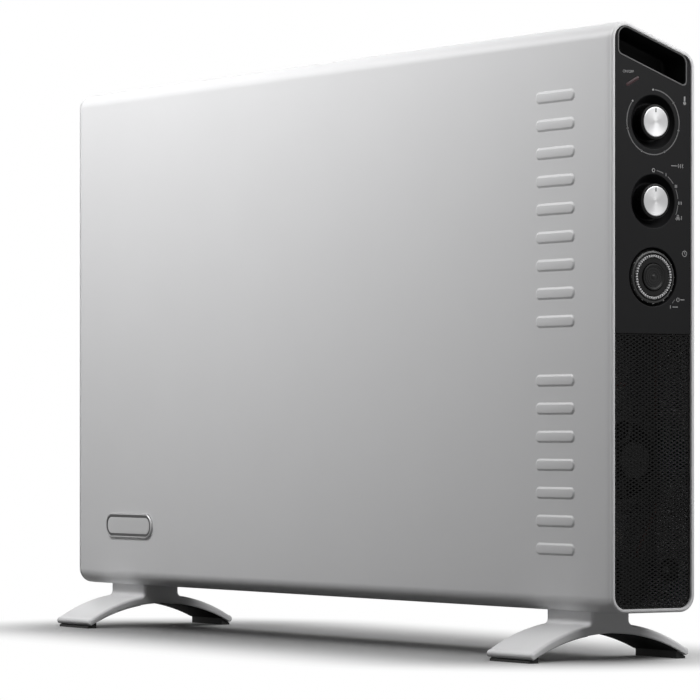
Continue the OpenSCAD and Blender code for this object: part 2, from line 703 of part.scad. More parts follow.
// Fan on the right bulkhead, blowing through it into the chamber.
module at_fan(x) { translate([x, 0, fan_z]) rotate([0, 90, 0]) children(); }
fan_x = bulk_x + bulk_t;
module fan_frame() {
    color("dimgray") casing_frame() at_fan(fan_x) difference() {
        union() {
            difference() {
                translate([-fan_frame_r, -fan_frame_r, 0]) cube([2 * fan_frame_r, 2 * fan_frame_r, fan_t]);
                translate([0, 0, -1]) cylinder(r = fan_r, h = fan_t + 2);
            }
            for (a = [45, 165, 285]) rotate(a) translate([0, -strut_w / 2, fan_t - strut_w])
                cube([fan_r + 1, strut_w, strut_w]);
            translate([0, 0, fan_t - strut_w]) cylinder(r = motor_r + 1.5, h = strut_w);
        }
        translate([0, 0, fan_t - 10]) cylinder(r = thin_shaft_r + 1, h = 20, $fn = 32);
    }
}
module fan_motor() {
    color("gray") casing_frame() at_fan(fan_x + fan_t) difference() {
        cylinder(r = motor_r, h = motor_l);
        translate([0, 0, -1]) cylinder(r = thin_shaft_r + bearing_gap, h = motor_l, $fn = 32);
    }
}
module fan_shaft() {
    color("slategray") casing_frame() at_fan(fan_x + 4) cylinder(r = thin_shaft_r, h = fan_t + 8, $fn = 32);
}
module fan_impeller() {
    color("black") casing_frame() at_fan(fan_x + 1.5) difference() {
        union() {
            cylinder(r = hub_r, h = hub_l);
            intersection() {
                tube(fan_r - 1.2, hub_r - 1, hub_l);
                for (i = [0:blade_count - 1]) rotate(i * 360 / blade_count) translate([0, 0, hub_l / 2])
                    rotate([40, 0, 0]) translate([hub_r - 2, -blade_w / 2, -blade_t / 2])
                        cube([fan_r, blade_w, blade_t]);
            }
        }
        translate([0, 0, -1]) cylinder(r = thin_shaft_r, h = hub_l + 3, $fn = 32);
    }
}

// Mains side: terminal block, wires and the bush in the rear sheet.
cord_bush_r = cord_hole_r + 3;
block_x = bulk_x + bulk_t;
block_y = 2;
block_z = 12;
block_w = 24;
block_h = 26;
module terminal_block() {
    color("ivory") casing_frame() translate([block_x, block_y, block_z]) difference() {
        cube([14, block_w, block_h]);
        for (i = [0:2]) translate([7, (i + 0.5) * block_w / 3, block_h - 6])
            cylinder(r = 1.8, h = 10, $fn = 24);
    }
}
wire_x = tube_end;
loom_drop = 24;
back_x = panel_x - bracket_back - switch_deep;
module wiring_loom() {
    color("firebrick") casing_frame() {
        wire([[wire_x - 1, block_y + block_w * 2 / 3, block_z + block_h],
            [wire_x - 1, block_y + block_w * 2 / 3, block_z + block_h + 6],
            [wire_x, wire_y, fan_z - fan_frame_r - 6], [wire_x, wire_y, selector_z - loom_drop],
            [back_x - 6, 8, selector_z], [back_x, 8, selector_z]], wire_r);
        wire([[back_x, -8, selector_z], [back_x - 6, -8, selector_z],
            [wire_x, -wire_y, selector_z - loom_drop], [wire_x, -wire_y, element_zs[1] + 10],
            [tube_end + 8, -12, element_zs[1]], [tube_end + 8, 0, element_zs[1]],
            [tube_end, 0, element_zs[1]]], wire_r);
    }
}
module cord_inlet_bush() {
    color([0.1, 0.1, 0.1]) casing_frame() translate([cord_x, half_d, cord_z]) rotate([-90, 0, 0])
        difference() {
        union() {
            translate([0, 0, -7]) cylinder(r = cord_bush_r, h = 8);
            cylinder(r = cord_bush_r + 2.5, h = 3);
            translate([0, 0, -shell_t - 2]) cylinder(r = cord_bush_r + 1.6, h = 2);
        }
        translate([0, 0, -10]) cylinder(r = cord_hole_r, h = 20);
    }
}

// Feet: an arch with a stem that meets the casing's underside.
module at_foot(s) { translate([body_x + s * foot_x, 0, 0]) children(); }
module foot_screw_places() {
    for (s = [-1, 1]) for (d = [-1, 1]) translate([s * foot_x + d * foot_screw_dx, -body_y, 0]) children();
}
stem_fillet = 4;
head_z = floor_gap - 10;
module foot_section() {
    n = 24;
    tip = toe_t * 0.32;
    polygon(concat(
        [for (k = [0:n]) let (y = -foot_half + tip + 2 * (foot_half - tip) * k / n) [y, low_z(y)]],
        [[foot_half, toe_gap + tip], [foot_half, toe_gap + toe_t - tip]],
        [for (k = [n:-1:0]) let (y = -foot_half + tip + 2 * (foot_half - tip) * k / n) [y, up_z(y)]],
        [[-foot_half, toe_gap + toe_t - tip], [-foot_half, toe_gap + tip]]));
    w = stem_l / 2;
    z = up_z(w + stem_fillet);
    polygon(concat([[-w - stem_fillet, z - 2], [w + stem_fillet, z - 2]],
        arc([w + stem_fillet, z + stem_fillet], stem_fillet, 270, 180, 5), [[w, floor_gap], [-w, floor_gap]],
        arc([-w - stem_fillet, z + stem_fillet], stem_fillet, 360, 270, 5)));
}
module foot(s) {
    color("whitesmoke") at_foot(s) difference() {
        union() {
            along_x(-foot_w / 2, foot_w / 2) foot_section();
            translate([-foot_w / 2, stem_low, floor_gap - 1])
                cube([foot_w, stem_high - stem_low, 1 + shell_t]);
        }
        for (d = [-1, 1]) translate([d * foot_screw_dx, 0, 0]) {
            cylinder(r = foot_screw_r + 0.2, h = 60, $fn = 32);
            cylinder(r = foot_head_r + 0.5, h = head_z, $fn = 32);
        }
    }
}
// The stem reaches up between the two sheets' lips.
stem_low = max(-stem_l / 2, body_y - half_d + lip_d) + 0.2;
stem_high = min(stem_l / 2, body_y + half_d - lip_d) - 0.2;
module foot_right() foot(1);
module foot_left() foot(-1);
module foot_pads(s) {
    color("black") at_foot(s) both_toes() along_x(pad_side - foot_w / 2, foot_w / 2 - pad_side)
        polygon(concat([[foot_half - pad_in, 0], [foot_half - pad_in + pad_l, 0]],
            [for (k = [4:-1:0]) let (y = foot_half - pad_in + pad_l * k / 4) [y, low_z(y) - 0.1]]));
}
module both_toes() { for (m = [0, 1]) mirror([0, m, 0]) children(); }
module foot_pads_right() foot_pads(1);
module foot_pads_left() foot_pads(-1);
bracket_floor = shell_t + grille_t;
foot_bracket_half = stem_l / 2 + 1;
boss_r = 5;
boss_h = 9;
plate_t = 1.5;
module foot_brackets() {
    color("lightsteelblue") casing_frame() difference() {
        both_ends() translate([foot_x, 0, 0]) {
            translate([-foot_w / 2, -foot_bracket_half, bracket_floor])
                cube([foot_w, 2 * foot_bracket_half, plate_t]);
            for (d = [-1, 1]) translate([d * foot_screw_dx, -body_y, bracket_floor])
                cylinder(r = boss_r, h = boss_h);
        }
        foot_screw_places() cylinder(r = foot_screw_r, h = bracket_floor + boss_h + 1, $fn = 32);
        both_ends() translate([bulk_x - 0.1, -half_d, 0]) cube([bulk_t + 0.2, body_d, bracket_floor + 12]);
    }
}
module foot_screws() {
    color("silver") casing_frame() foot_screw_places()
        translate([0, 0, head_z - floor_gap]) rotate([180, 0, 0])
            screw(foot_screw_r, bracket_floor + boss_h - 1 + floor_gap - head_z, foot_head_r, foot_head_h);
}
module rear_screws() {
    color("silver") casing_frame() rear_screw_places() screw(screw_r, 6, head_r, head_h);
}

front_shell();
rear_shell();
top_grille();
base_grille();
end_frame_right();
end_frame_left();
control_panel();
end_cover_left();
grip_cup_right();
grip_cup_left();
side_mesh_right();
side_mesh_left();
name_badge();
indicator_lens();
indicator_lamp();
thermostat_knob();
thermostat_cap();
thermostat_shaft();
thermostat_body();
thermostat_bulb();
selector_knob();
selector_cap();
selector_shaft();
selector_switch();
timer_dial();
timer_tappets();
timer_mode_knob();
timer_mode_shaft();
timer_movement();
control_bracket();
control_screws();
bulkhead_right();
bulkhead_left();
heat_shield_front();
heat_shield_rear();
lower_tube();
lower_fins();
upper_tube();
upper_fins();
element_insulators();
thermal_cutout();
fan_frame();
fan_motor();
fan_shaft();
fan_impeller();
terminal_block();
wiring_loom();
cord_inlet_bush();
foot_right();
foot_left();
foot_pads_right();
foot_pads_left();
foot_brackets();
foot_screws();
rear_screws();
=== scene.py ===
# Electric convector heater: the looks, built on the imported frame.
# Lengths are millimetres in the casing's own frame, as in the part's source: x and y from its
# middle, z from its underside. place() turns them into metres in the row frame.
from math import atan2, ceil, cos, degrees, hypot, pi, radians, sin, sqrt, tan

import bmesh
import bpy
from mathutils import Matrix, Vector
from mathutils.geometry import delaunay_2d_cdt

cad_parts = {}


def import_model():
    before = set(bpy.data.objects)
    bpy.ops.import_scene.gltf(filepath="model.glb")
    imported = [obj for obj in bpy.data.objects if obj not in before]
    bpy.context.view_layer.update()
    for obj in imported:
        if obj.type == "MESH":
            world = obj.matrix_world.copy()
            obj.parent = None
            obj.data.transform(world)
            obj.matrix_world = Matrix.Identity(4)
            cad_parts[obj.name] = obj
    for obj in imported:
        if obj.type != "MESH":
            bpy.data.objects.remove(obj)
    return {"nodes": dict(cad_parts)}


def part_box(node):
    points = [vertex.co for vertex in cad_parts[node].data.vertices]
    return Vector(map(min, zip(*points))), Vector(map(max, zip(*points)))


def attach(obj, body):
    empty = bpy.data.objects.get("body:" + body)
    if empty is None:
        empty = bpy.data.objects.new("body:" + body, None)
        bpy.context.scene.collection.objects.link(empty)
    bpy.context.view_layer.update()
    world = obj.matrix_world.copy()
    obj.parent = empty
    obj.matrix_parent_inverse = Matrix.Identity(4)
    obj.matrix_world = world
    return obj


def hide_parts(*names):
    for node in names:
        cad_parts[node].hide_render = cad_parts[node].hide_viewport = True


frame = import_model()
scene = bpy.context.scene
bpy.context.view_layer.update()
MM = 0.001

# The casing's size and place come from the frame.
right_low, right_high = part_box("end_frame_right")
left_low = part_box("end_frame_left")[0]
MIDDLE = Vector(((left_low.x + right_high.x) / 2, (right_low.y + right_high.y) / 2, right_low.z))
HALF_W = (right_high.x - MIDDLE.x) / MM
HALF_D = (right_high.y - MIDDLE.y) / MM
BODY_H = (right_high.z - MIDDLE.z) / MM
FLOOR_GAP = MIDDLE.z / MM

# Sizes that the part's source gives.
CORNER_R = 12.5
SLOPE = radians(20)
SHELL_T = 1.0
LIP_D = 17.0
FRAME_LEN = 5.0
FLANGE_LEN = 8.0
END_BAY = 58.0
PANEL_IN = 3.6
PANEL_T = 2.5
DISH_R = 19.3
DISH_FLOOR_R = 14.6
DISH_DEEP = 8.0
WELL_R = 21.2

# The rim as the photo shows it, a little finer than in the source.
SEAM_IN = 2.75
RIM_W = 3.2
RIM_AHEAD = 0.3
EDGE_IN = 2.0

# The two ends, as (name, whether it is the mirror image).
ENDS = (("right", False), ("left", True))

# Sides of a turned shape, by how large it shows.
TURN_N = 96
DIAL_N = 144
KNOB_N = 240

# Faces that meet at more than this many degrees keep a sharp edge.
SHARP = 35


def place(x, y, z):
    """A point of the casing's frame as metres in the row frame."""
    return (MIDDLE.x + x * MM, MIDDLE.y + y * MM, MIDDLE.z + z * MM)


def node_box(node):
    """A CAD node's lowest and highest corner in the casing's frame."""
    low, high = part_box(node)
    return (low - MIDDLE) / MM, (high - MIDDLE) / MM


def node_middle(node):
    low, high = node_box(node)
    return (low + high) / 2


def node_radius(node):
    low, high = node_box(node)
    return (high.z - low.z) / 2


PANEL_X = node_box("control_panel")[1].x
PANEL_Z = node_box("control_panel")[0].z
THERMOSTAT_Z = node_middle("thermostat_cap").z
SELECTOR_Z = node_middle("selector_cap").z
TIMER_Z = node_middle("timer_dial").z
TOP_BACK_Z = BODY_H - CORNER_R - 2 * (HALF_D - CORNER_R) * tan(SLOPE)


def turns(start, end, n):
    """Angles from start to end, given in degrees, in n steps."""
    return [radians(start + (end - start) * k / n) for k in range(n + 1)]


# Outlines, as lists of (y, z).
def arc(y, z, r, start, end, n):
    return [(y + r * cos(a), z + r * sin(a)) for a in turns(start, end, n)]


def circle(y, z, r, n):
    return arc(y, z, r, 0, 360 * (n - 1) / n, n - 1)


def top_line(y):
    """Height of the sloping top's surface."""
    return BODY_H - CORNER_R + CORNER_R / cos(SLOPE) - tan(SLOPE) * (y + HALF_D - CORNER_R)


def rounded(points, radii, n=10):
    """A convex outline with its corners rounded, given counter-clockwise."""
    loop = []
    for i, b in enumerate(points):
        a, c = Vector(points[i - 1]), Vector(points[(i + 1) % len(points)])
        b = Vector(b)
        u, v = (a - b).normalized(), (c - b).normalized()
        half = u.angle(v) / 2
        middle = b + (u + v).normalized() * radii[i] / sin(half)
        side = b + u * radii[i] / tan(half) - middle
        start = degrees(atan2(side.y, side.x))
        loop += arc(middle.x, middle.y, radii[i], start, start + 180 - 2 * degrees(half), n)
    return loop


# Radius of the upper corners of an outline that stops at a high line.
HIGH_R = 0.6


def side_outline(inset, low, low_r, high=None, n=10):
    """The casing's side outline drawn in, from a low line to the top or a high line."""
    a = HALF_D - inset

    def top(y):
        return top_line(y) - inset / cos(SLOPE) if high is None else high

    high_r = CORNER_R - inset if high is None else HIGH_R
    return rounded([(-a, low), (a, low), (a, top(a)), (-a, top(-a))], [low_r, low_r, high_r, high_r], n)


def bar_outline(length, width, n=10):
    """Half circles at the two ends of a bar that lies along the first axis."""
    r = width / 2
    return arc(length / 2 - r, 0, r, -90, 90, n) + arc(r - length / 2, 0, r, 90, 270, n)


def round_edge(r, n=4):
    """A rounded edge as (distance into the material, depth below the face), from the face on."""
    return [(r * (1 - sin(a)), r * (1 - cos(a))) for a in turns(0, 90, n)]


# Meshes. Points this close are one, in a filled outline, in a clipped shape and in a mesh.
SAME_POINT = 0.00001
WELD = 0.001
MERGE = 0.002
SHORT_EDGE = 0.01


class Shape:
    """Vertices and faces for one mesh, in casing millimetres."""

    def __init__(self):
        self.verts, self.faces = [], []

    def add(self, verts, faces):
        start = len(self.verts)
        self.verts += verts
        self.faces += [[start + i for i in face] for face in faces]
        return self

    def loft(self, rings, path_closed=False, cap_first=False, cap_last=False):
        """Quads between closed rings, each with the same count of points."""
        n = len(rings[0])
        verts = [p for ring in rings for p in ring]
        faces = []
        for j in range(len(rings) if path_closed else len(rings) - 1):
            k = (j + 1) % len(rings)
            for i in range(n):
                m = (i + 1) % n
                faces.append((j * n + i, k * n + i, k * n + m, j * n + m))
        if cap_first:
            faces.append(list(range(n)))
        if cap_last:
            faces.append([(len(rings) - 1) * n + i for i in range(n)])
        return self.add(verts, faces)

    def block(self, rings):
        """A loft with both ends closed."""
        return self.loft(rings, cap_first=True, cap_last=True)

    def fill(self, loops, x):
        """A flat face at x between an outer loop and the holes in it."""
        points, edges = [], []
        for loop in loops:
            start = len(points)
            points += [Vector(p) for p in loop]
            edges += [(start + i, start + (i + 1) % len(loop)) for i in range(len(loop))]
        verts, _, faces, *_ = delaunay_2d_cdt(points, edges, [], 0, SAME_POINT)
        kept = []
        for face in faces:
            middle = sum((verts[i] for i in face), Vector((0, 0))) / len(face)
            if sum(inside(middle, loop) for loop in loops) % 2:
                kept.append(face)
        return self.add([(x, y, z) for y, z in verts], kept)

    def lathe(self, profile, z, n=TURN_N, flutes=None, closed=True):
        """A turned shape about x. The profile holds (radius, x), flutes gives a radius factor."""
        rings = []
        for j, (r, x) in enumerate(profile):
            ring = []
            for i in range(n):
                a = 2 * pi * i / n
                q = r * flutes(a, j) if flutes else r
                ring.append((x, q * cos(a), z + q * sin(a)))
            rings.append(ring)
        return self.loft(rings, cap_first=closed, cap_last=closed)


def inside(point, loop):
    crossings = 0
    for i, (y, z) in enumerate(loop):
        a, b = loop[i - 1]
        if (z > point.y) != (b > point.y) and point.x < y + (a - y) * (point.y - z) / (b - z):
            crossings += 1
    return crossings % 2


def at_x(loop, x):
    return [(x, y, z) for y, z in loop]


def grown(r, x, steps):
    """Points of a turned profile as (radius, x), from (radius grown, depth) steps."""
    return [(r + more, x - depth) for more, depth in steps]


def in_scene(name, data):
    """A new object, linked into the scene."""
    obj = bpy.data.objects.new(name, data)
    scene.collection.objects.link(obj)
    return obj


def shown_mesh(obj):
    """An object's mesh with its modifiers or its curve worked out."""
    bpy.context.view_layer.update()
    return bpy.data.meshes.new_from_object(obj.evaluated_get(bpy.context.evaluated_depsgraph_get()))


def solid(name, shape, side=1):
    """An object from a shape, its points merged, its faces outward."""
    mesh = bpy.data.meshes.new(name)
    mesh.from_pydata([place(side * x, y, z) for x, y, z in shape.verts], [], shape.faces)
    tidy = bmesh.new()
    tidy.from_mesh(mesh)
    bmesh.ops.remove_doubles(tidy, verts=tidy.verts, dist=MERGE * MM)
    bmesh.ops.recalc_face_normals(tidy, faces=tidy.faces)
    tidy.to_mesh(mesh)
    tidy.free()
    return in_scene(name, mesh)


def piece(name, shape, look, body="casing", node=None, sharp=SHARP, mirror=False):
    """An object from a shape. Node is the CAD node that it stands for."""
    obj = solid(name, shape, -1 if mirror else 1)
    mesh = obj.data
    mesh.polygons.foreach_set("use_smooth", [True] * len(mesh.polygons))
    mesh.set_sharp_from_angle(angle=radians(sharp))
    mesh.materials.append(LOOKS[look])
    if node:
        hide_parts(node)
    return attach(obj, body)


def cut(obj, cutter):
    """Takes the cutter shape out of a piece."""
    tool = solid("cutter", cutter)
    modifier = obj.modifiers.new("cut", "BOOLEAN")
    modifier.object = tool
    modifier.operation = "DIFFERENCE"
    modifier.solver = "EXACT"
    obj.data = shown_mesh(obj)
    obj.modifiers.remove(modifier)
    obj.data.set_sharp_from_angle(angle=radians(SHARP))
    bpy.data.objects.remove(tool)


# Finishes. Each varies colour, roughness and relief over the surface at a real scale.
def add_node(tree, kind, *sources, operation=None, **values):
    """A node with its first inputs linked to the sources and its named inputs set."""
    node = tree.nodes.new("ShaderNode" + kind)
    if operation:
        node.operation = operation
    for socket, source in zip(node.inputs, sources):
        tree.links.new(source, socket)
    for name, value in values.items():
        node.inputs[name.replace("_", " ")].default_value = value
    return node


PATCHES = 14
PATCH_RANGE = (0.3, 0.7)
LEAST_ROUGH = 0.02


def finish(name, colour, rough, grain, relief, vary=0.03, gloss=0.5, metal=0, rough_vary=0.05):
    """A material: grain is in cells per metre, relief in millimetres, vary a share of the colour."""
    material = bpy.data.materials.new(name)
    material.use_nodes = True
    tree = material.node_tree
    shader = tree.nodes["Principled BSDF"]
    shader.inputs["Metallic"].default_value = metal
    shader.inputs["Specular IOR Level"].default_value = gloss
    where = add_node(tree, "TexCoord").outputs["Object"]
    fine = add_node(tree, "TexNoise", where, Scale=grain, Detail=4).outputs["Fac"]
    broad = add_node(tree, "TexNoise", where, Scale=PATCHES, Detail=3).outputs["Fac"]
    tint = add_node(tree, "ValToRGB", broad)
    for stop, at, share in zip(tint.color_ramp.elements, PATCH_RANGE, (1 - vary, 1 + vary)):
        stop.position = at
        stop.color = [min(1, c * share) for c in colour] + [1]
    tree.links.new(tint.outputs["Color"], shader.inputs["Base Color"])
    least, most = max(LEAST_ROUGH, rough - rough_vary), min(1, rough + rough_vary)
    spread = add_node(tree, "MapRange", fine, To_Min=least, To_Max=most)
    tree.links.new(spread.outputs["Result"], shader.inputs["Roughness"])
    bump = add_node(tree, "Bump", Strength=1, Distance=relief * MM)
    tree.links.new(fine, bump.inputs["Height"])
    tree.links.new(bump.outputs["Normal"], shader.inputs["Normal"])
    return material


def turned(material):
    """Runs a metal's sheen across fine turned rings, by the piece's own map."""
    tree = material.node_tree
    shader = tree.nodes["Principled BSDF"]
    shader.inputs["Anisotropic"].default_value = 0.6
    tangent = add_node(tree, "Tangent")
    tangent.direction_type = "UV_MAP"
    tangent.uv_map = "turned"
    tree.links.new(tangent.outputs["Tangent"], shader.inputs["Tangent"])


def grey(value):
    return (value, value, value * 1.01)


def black(value):
    return (value, value, value)


# The pieces' looks.
ROWS = {
    "casing_paint": (grey(0.66), 0.42, 1400, 0.004, 0.008, 0.3),
    "rim_paint": (grey(0.68), 0.36, 1100, 0.004, 0.01),
    "foot_paint": (grey(0.7), 0.4, 1200, 0.006, 0.015),
    "panel_black": ((0.01, 0.01, 0.0105), 0.5, 2600, 0.008, 0.08, 0.08),
    "cup_black": (black(0.004), 0.6, 2200, 0.01, 0.1, 0.1),
    "mesh_black": (black(0.013), 0.42, 3000, 0.006, 0.1, 0.07),
    "grille_black": ((0.03, 0.03, 0.032), 0.5, 2400, 0.01, 0.1),
    "knob_black": (black(0.004), 0.34, 2600, 0.006, 0.1, 0.12),
    "dial_black": (black(0.005), 0.38, 2600, 0.006, 0.1, 0.14),
    # Painted sheen: the band on the dial's rim is lighter than the dial, as well as glossier.
    "dial_sheen_edge": (black(0.012), 0.34, 2600, 0.004, 0.1, 0.35),
    "hub_black": (black(0.008), 0.34, 2600, 0.004, 0.1, 0.18),
    # Painted highlight: the grey of the bead round the grip's opening, far lighter than the panel.
    "highlight_lip_grey": (grey(0.11), 0.4, 2600, 0.004, 0.05, 0.3),
    "cap_metal": (grey(0.43), 0.34, 1500, 0.002, 0.03, 0.5, 1),
    "tappet_grey": (grey(0.46), 0.4, 2200, 0.006, 0.06),
    "print_grey": (grey(0.1), 0.5, 3000, 0.003, 0.05),
    "print_light": (grey(0.3), 0.5, 3000, 0.003, 0.05),
    "dial_print": (grey(0.45), 0.5, 3000, 0.003, 0.05),
    "badge_metal": (grey(0.42), 0.32, 1800, 0.006, 0.04, 0.5, 0.6),
    "badge_dark": ((0.014, 0.014, 0.015), 0.4, 1800, 0.006, 0.08),
    # Painted shade: the near-black sheet under the feet's arms.
    "painted_shade_black": (black(0.004), 0.8, 1600, 0.02, 0.1, 0.1),
    "lens_red": ((0.026, 0.008, 0.01), 0.3, 900, 0.003, 0.1, 0.25),
}
LOOKS = {name: finish(name, *row) for name, row in ROWS.items()}
turned(LOOKS["cap_metal"])


# A front sheet and a rear sheet, whose lips reach over the top and the underside.
ROLL = 7.0
ROLL_DROP = 0.7
ROLL_STEPS = (0, 0.12, 0.35, 0.7, 1.2, 2, 3, 4.2, 5.6, ROLL, 16)
SEAM_GAP = 0.15
SHEET_END = HALF_W - SEAM_IN - SEAM_GAP
FRONT_N = 16
REAR_N = 12


def sheet_columns():
    """Places along a sheet as (x, drop): its surface falls as it nears an end frame."""
    steps = [(SHEET_END - d, ROLL_DROP * max(0, 1 - d / ROLL) ** 3) for d in ROLL_STEPS]
    return sorted([(-x, drop) for x, drop in steps] + steps)


def around(y, z, start, end, n):
    """Points of a rounded corner as (y, z, normal y, normal z)."""
    points = arc(y, z, CORNER_R, start, end, n)
    return [point + normal for point, normal in zip(points, arc(0, 0, 1, start, end, n))]


def top_lip(y):
    """The edge of a sheet on the sloping top, with its normal."""
    return [(y, top_line(y), sin(SLOPE), cos(SLOPE))]


def sheet(path):
    """A bent sheet along x, with closed ends."""
    n = len(path)
    rings = []
    for x, drop in sheet_columns():
        outer = [(x, y - a * drop, z - b * drop) for y, z, a, b in path]
        inner = [(x, y - a * SHELL_T, z - b * SHELL_T) for y, z, a, b in reversed(path)]
        rings.append(outer + inner)
    shape = Shape().loft(rings)
    for ring in (rings[0], rings[-1]):
        shape.add(ring, [(i, i + 1, 2 * n - 2 - i, 2 * n - 1 - i) for i in range(n - 1)])
    return shape


# Raised bars. Groups are given as (height of the lowest bar, count).
BEAD_X = HALF_W - 69.5
BEAD_LEN = 49.0
BEAD_W = 9.0
BEAD_FLARE = 0.6
BEAD_PROUD = 1.0
BEAD_SUNK = 0.03
BEAD_RAMP = 2.2
BEAD_STEPS = 8
BEAD_PITCH = 20.5
BEAD_GROUPS = ((45, 7), (211, 9))


def bead(shape, z):
    """One raised bar with a soft foot and a flat top."""
    rings = []
    for k in range(BEAD_STEPS + 1):
        t = k / BEAD_STEPS
        width = BEAD_W + BEAD_FLARE - 2 * BEAD_RAMP * t
        out = BEAD_PROUD * t * t * (3 - 2 * t) - BEAD_SUNK * (1 - t)
        loop = bar_outline(BEAD_LEN - BEAD_W + width, width, 12)
        rings.append([(BEAD_X + x, -HALF_D - out, z + up) for x, up in loop])
    shape.loft(rings, cap_last=True)


def front_sheet():
    lip, centre = LIP_D - HALF_D, CORNER_R - HALF_D
    shape = sheet(top_lip(lip) + around(centre, BODY_H - CORNER_R, 90 - degrees(SLOPE), 180, FRONT_N)
                  + around(centre, CORNER_R, 180, 270, FRONT_N) + [(lip, 0, 0, -1)])
    for low, count in BEAD_GROUPS:
        for i in range(count):
            bead(shape, low + i * BEAD_PITCH)
    piece("front_sheet", shape, "casing_paint", node="front_shell")


# Openings of the back. A blade's section is (x from its louvre's middle, distance behind the back).
LOUVRE_ZS = (40, 90)
LOUVRE_L = 38.0
LOUVRE_W = 4.4
LOUVRE_COUNT = 36
LOUVRE_MARGIN = 40
LOUVRE_PITCH = 2 * (HALF_W - END_BAY - LOUVRE_MARGIN) / LOUVRE_COUNT
LOUVRE_XS = [(i - (LOUVRE_COUNT - 1) / 2) * LOUVRE_PITCH for i in range(LOUVRE_COUNT)]
LOUVRES = [(x, z) for z in LOUVRE_ZS for x in LOUVRE_XS]
BLADE_SECTION = ((-1.9, -1.0), (-1.6, -1.0), (2.6, -5.2), (2.2, -5.4))
BLADE_SHORT = 1
WALL_HOLE_X = 250.0
WALL_HOLE_DROP = 14
WALL_HOLE_R = 3.0
CORD_HOLE_R = 7.05
HOLE_N = 32
CUT_REACH = 4


def rear_holes():
    """Cutters for the louvres, wall holes and cord hole."""
    bar = bar_outline(LOUVRE_L, LOUVRE_W, 5)
    loops = [[(x + across, z + LOUVRE_L / 2 + along) for along, across in bar] for x, z in LOUVRES]
    for side in (-1, 1):
        loops.append(circle(side * WALL_HOLE_X, TOP_BACK_Z - WALL_HOLE_DROP, WALL_HOLE_R, HOLE_N))
    cord = node_middle("cord_inlet_bush")
    loops.append(circle(cord.x, cord.z, CORD_HOLE_R, HOLE_N))
    cutter = Shape()
    for loop in loops:
        cutter.block([[(x, HALF_D + d, z) for x, z in loop] for d in (-CUT_REACH, CUT_REACH)])
    return cutter


def rear_sheet():
    lip, centre = HALF_D - LIP_D, HALF_D - CORNER_R
    shape = sheet([(lip, 0, 0, -1)] + around(centre, CORNER_R, -90, 0, REAR_N)
                  + around(centre, TOP_BACK_Z, 0, 90 - degrees(SLOPE), REAR_N) + top_lip(lip))
    cut(piece("rear_sheet", shape, "casing_paint", node="rear_shell"), rear_holes())
    blades = Shape()
    for x, z in LOUVRES:
        ends = (z + BLADE_SHORT, z + LOUVRE_L - BLADE_SHORT)
        blades.block([[(x + a, HALF_D + b, end) for a, b in BLADE_SECTION] for end in ends])
    piece("rear_louvre_blades", blades, "grille_black")


# End frames: the rim round each end, with a rolled outer edge.
# The steps at its seam and its mouth are (distance from it along x, drawn in).
FLANGE_GAP = 0.05
RIM_SEAM = ((0, 0.6), (0.06, 0.4))
RIM_ROLL_AT = 0.1
RIM_ROLL_IN = 0.2
RIM_ROLL_CURVE = 0.8
RIM_ROLL_N = 10
RIM_MOUTH = ((0, 0.35), (0.1, 0.1), (0.35, 0))


def rims():
    start = HALF_W - SEAM_IN
    foot = HALF_W - FRAME_LEN - FLANGE_LEN
    outer = [(foot, SHELL_T + FLANGE_GAP), (start, SHELL_T + FLANGE_GAP)]
    outer += [(start + x, inset) for x, inset in RIM_SEAM]
    for a in turns(0, 90, RIM_ROLL_N):
        outer.append((start + RIM_ROLL_AT + (SEAM_IN - RIM_ROLL_AT) * sin(a),
                      EDGE_IN - (EDGE_IN - RIM_ROLL_IN) * cos(a) ** RIM_ROLL_CURVE))
    inner = [(HALF_W - x, RIM_W - inset) for x, inset in RIM_MOUTH] + [(foot, RIM_W)]
    rings = []
    for steps, ahead in ((outer, 0), (inner, RIM_AHEAD)):
        for x, inset in steps:
            outline = side_outline(inset, inset, CORNER_R - inset, n=12)
            rings.append([(x, y - ahead, z) for y, z in outline])
    shape = Shape().loft(rings, path_closed=True)
    for end, mirror in ENDS:
        piece("rim_" + end, shape, "rim_paint", node="end_frame_" + end, mirror=mirror)


# Upper end panels, their openings, and their rounded edges with a flat strip beside them.
PANEL_CORNER = 0.8
GRIP_MARGIN = 4.7
GRIP_H = 20.4
GRIP_FRONT = 3.5
GRIP_BACK = 4.5
GRIP_DEEP = 24.0
GRIP_WALL = 1.6
GRIP_CORNERS = (4, 2.4, 7, 6)
LAMP_Y = -18.3
LAMP_Z = BODY_H - 42.8
LAMP_TILT = radians(29)
LAMP_L = 13.0
LAMP_W = 2.6
FLAT = 0.25
PANEL_EDGE = 0.5
GRIP_EDGE = 0.9
LAMP_EDGE = 0.2
DISH_EDGE = 0.7
WELL_EDGE = 0.6


def grip_outline(g):
    """The grip's opening, grown by g, parallel to the sloping top."""
    up = top_line(0) - GRIP_MARGIN + g / cos(SLOPE)
    low = top_line(0) - GRIP_MARGIN - GRIP_H - g / cos(SLOPE)
    a = -HALF_D + PANEL_IN + GRIP_FRONT - g
    b = HALF_D - PANEL_IN - GRIP_BACK + g
    k = tan(SLOPE)
    corners = [(a, low - k * a), (b, low - k * b), (b, up - k * b), (a, up - k * a)]
    return rounded(corners, [r + g for r in GRIP_CORNERS], 8)


def lamp_outline(g):
    loop = bar_outline(LAMP_L + 2 * g, LAMP_W + 2 * g)
    c, s = cos(LAMP_TILT), sin(LAMP_TILT)
    return [(LAMP_Y + y * c - z * s, LAMP_Z + y * s + z * c) for y, z in loop]


def panel_outline(inset):
    return side_outline(PANEL_IN + inset, PANEL_Z + inset, PANEL_CORNER)


def edge_steps(edge, n=4):
    """A flat strip and a rounded edge, as (distance into the material, depth below the face)."""
    return [(edge + FLAT, 0), *round_edge(edge, n)]


def through(outline, edge):
    """The wall of an opening or a rim, from the face to the back."""
    return [at_x(outline(g), PANEL_X - d) for g, d in edge_steps(edge) + [(0, PANEL_T)]]


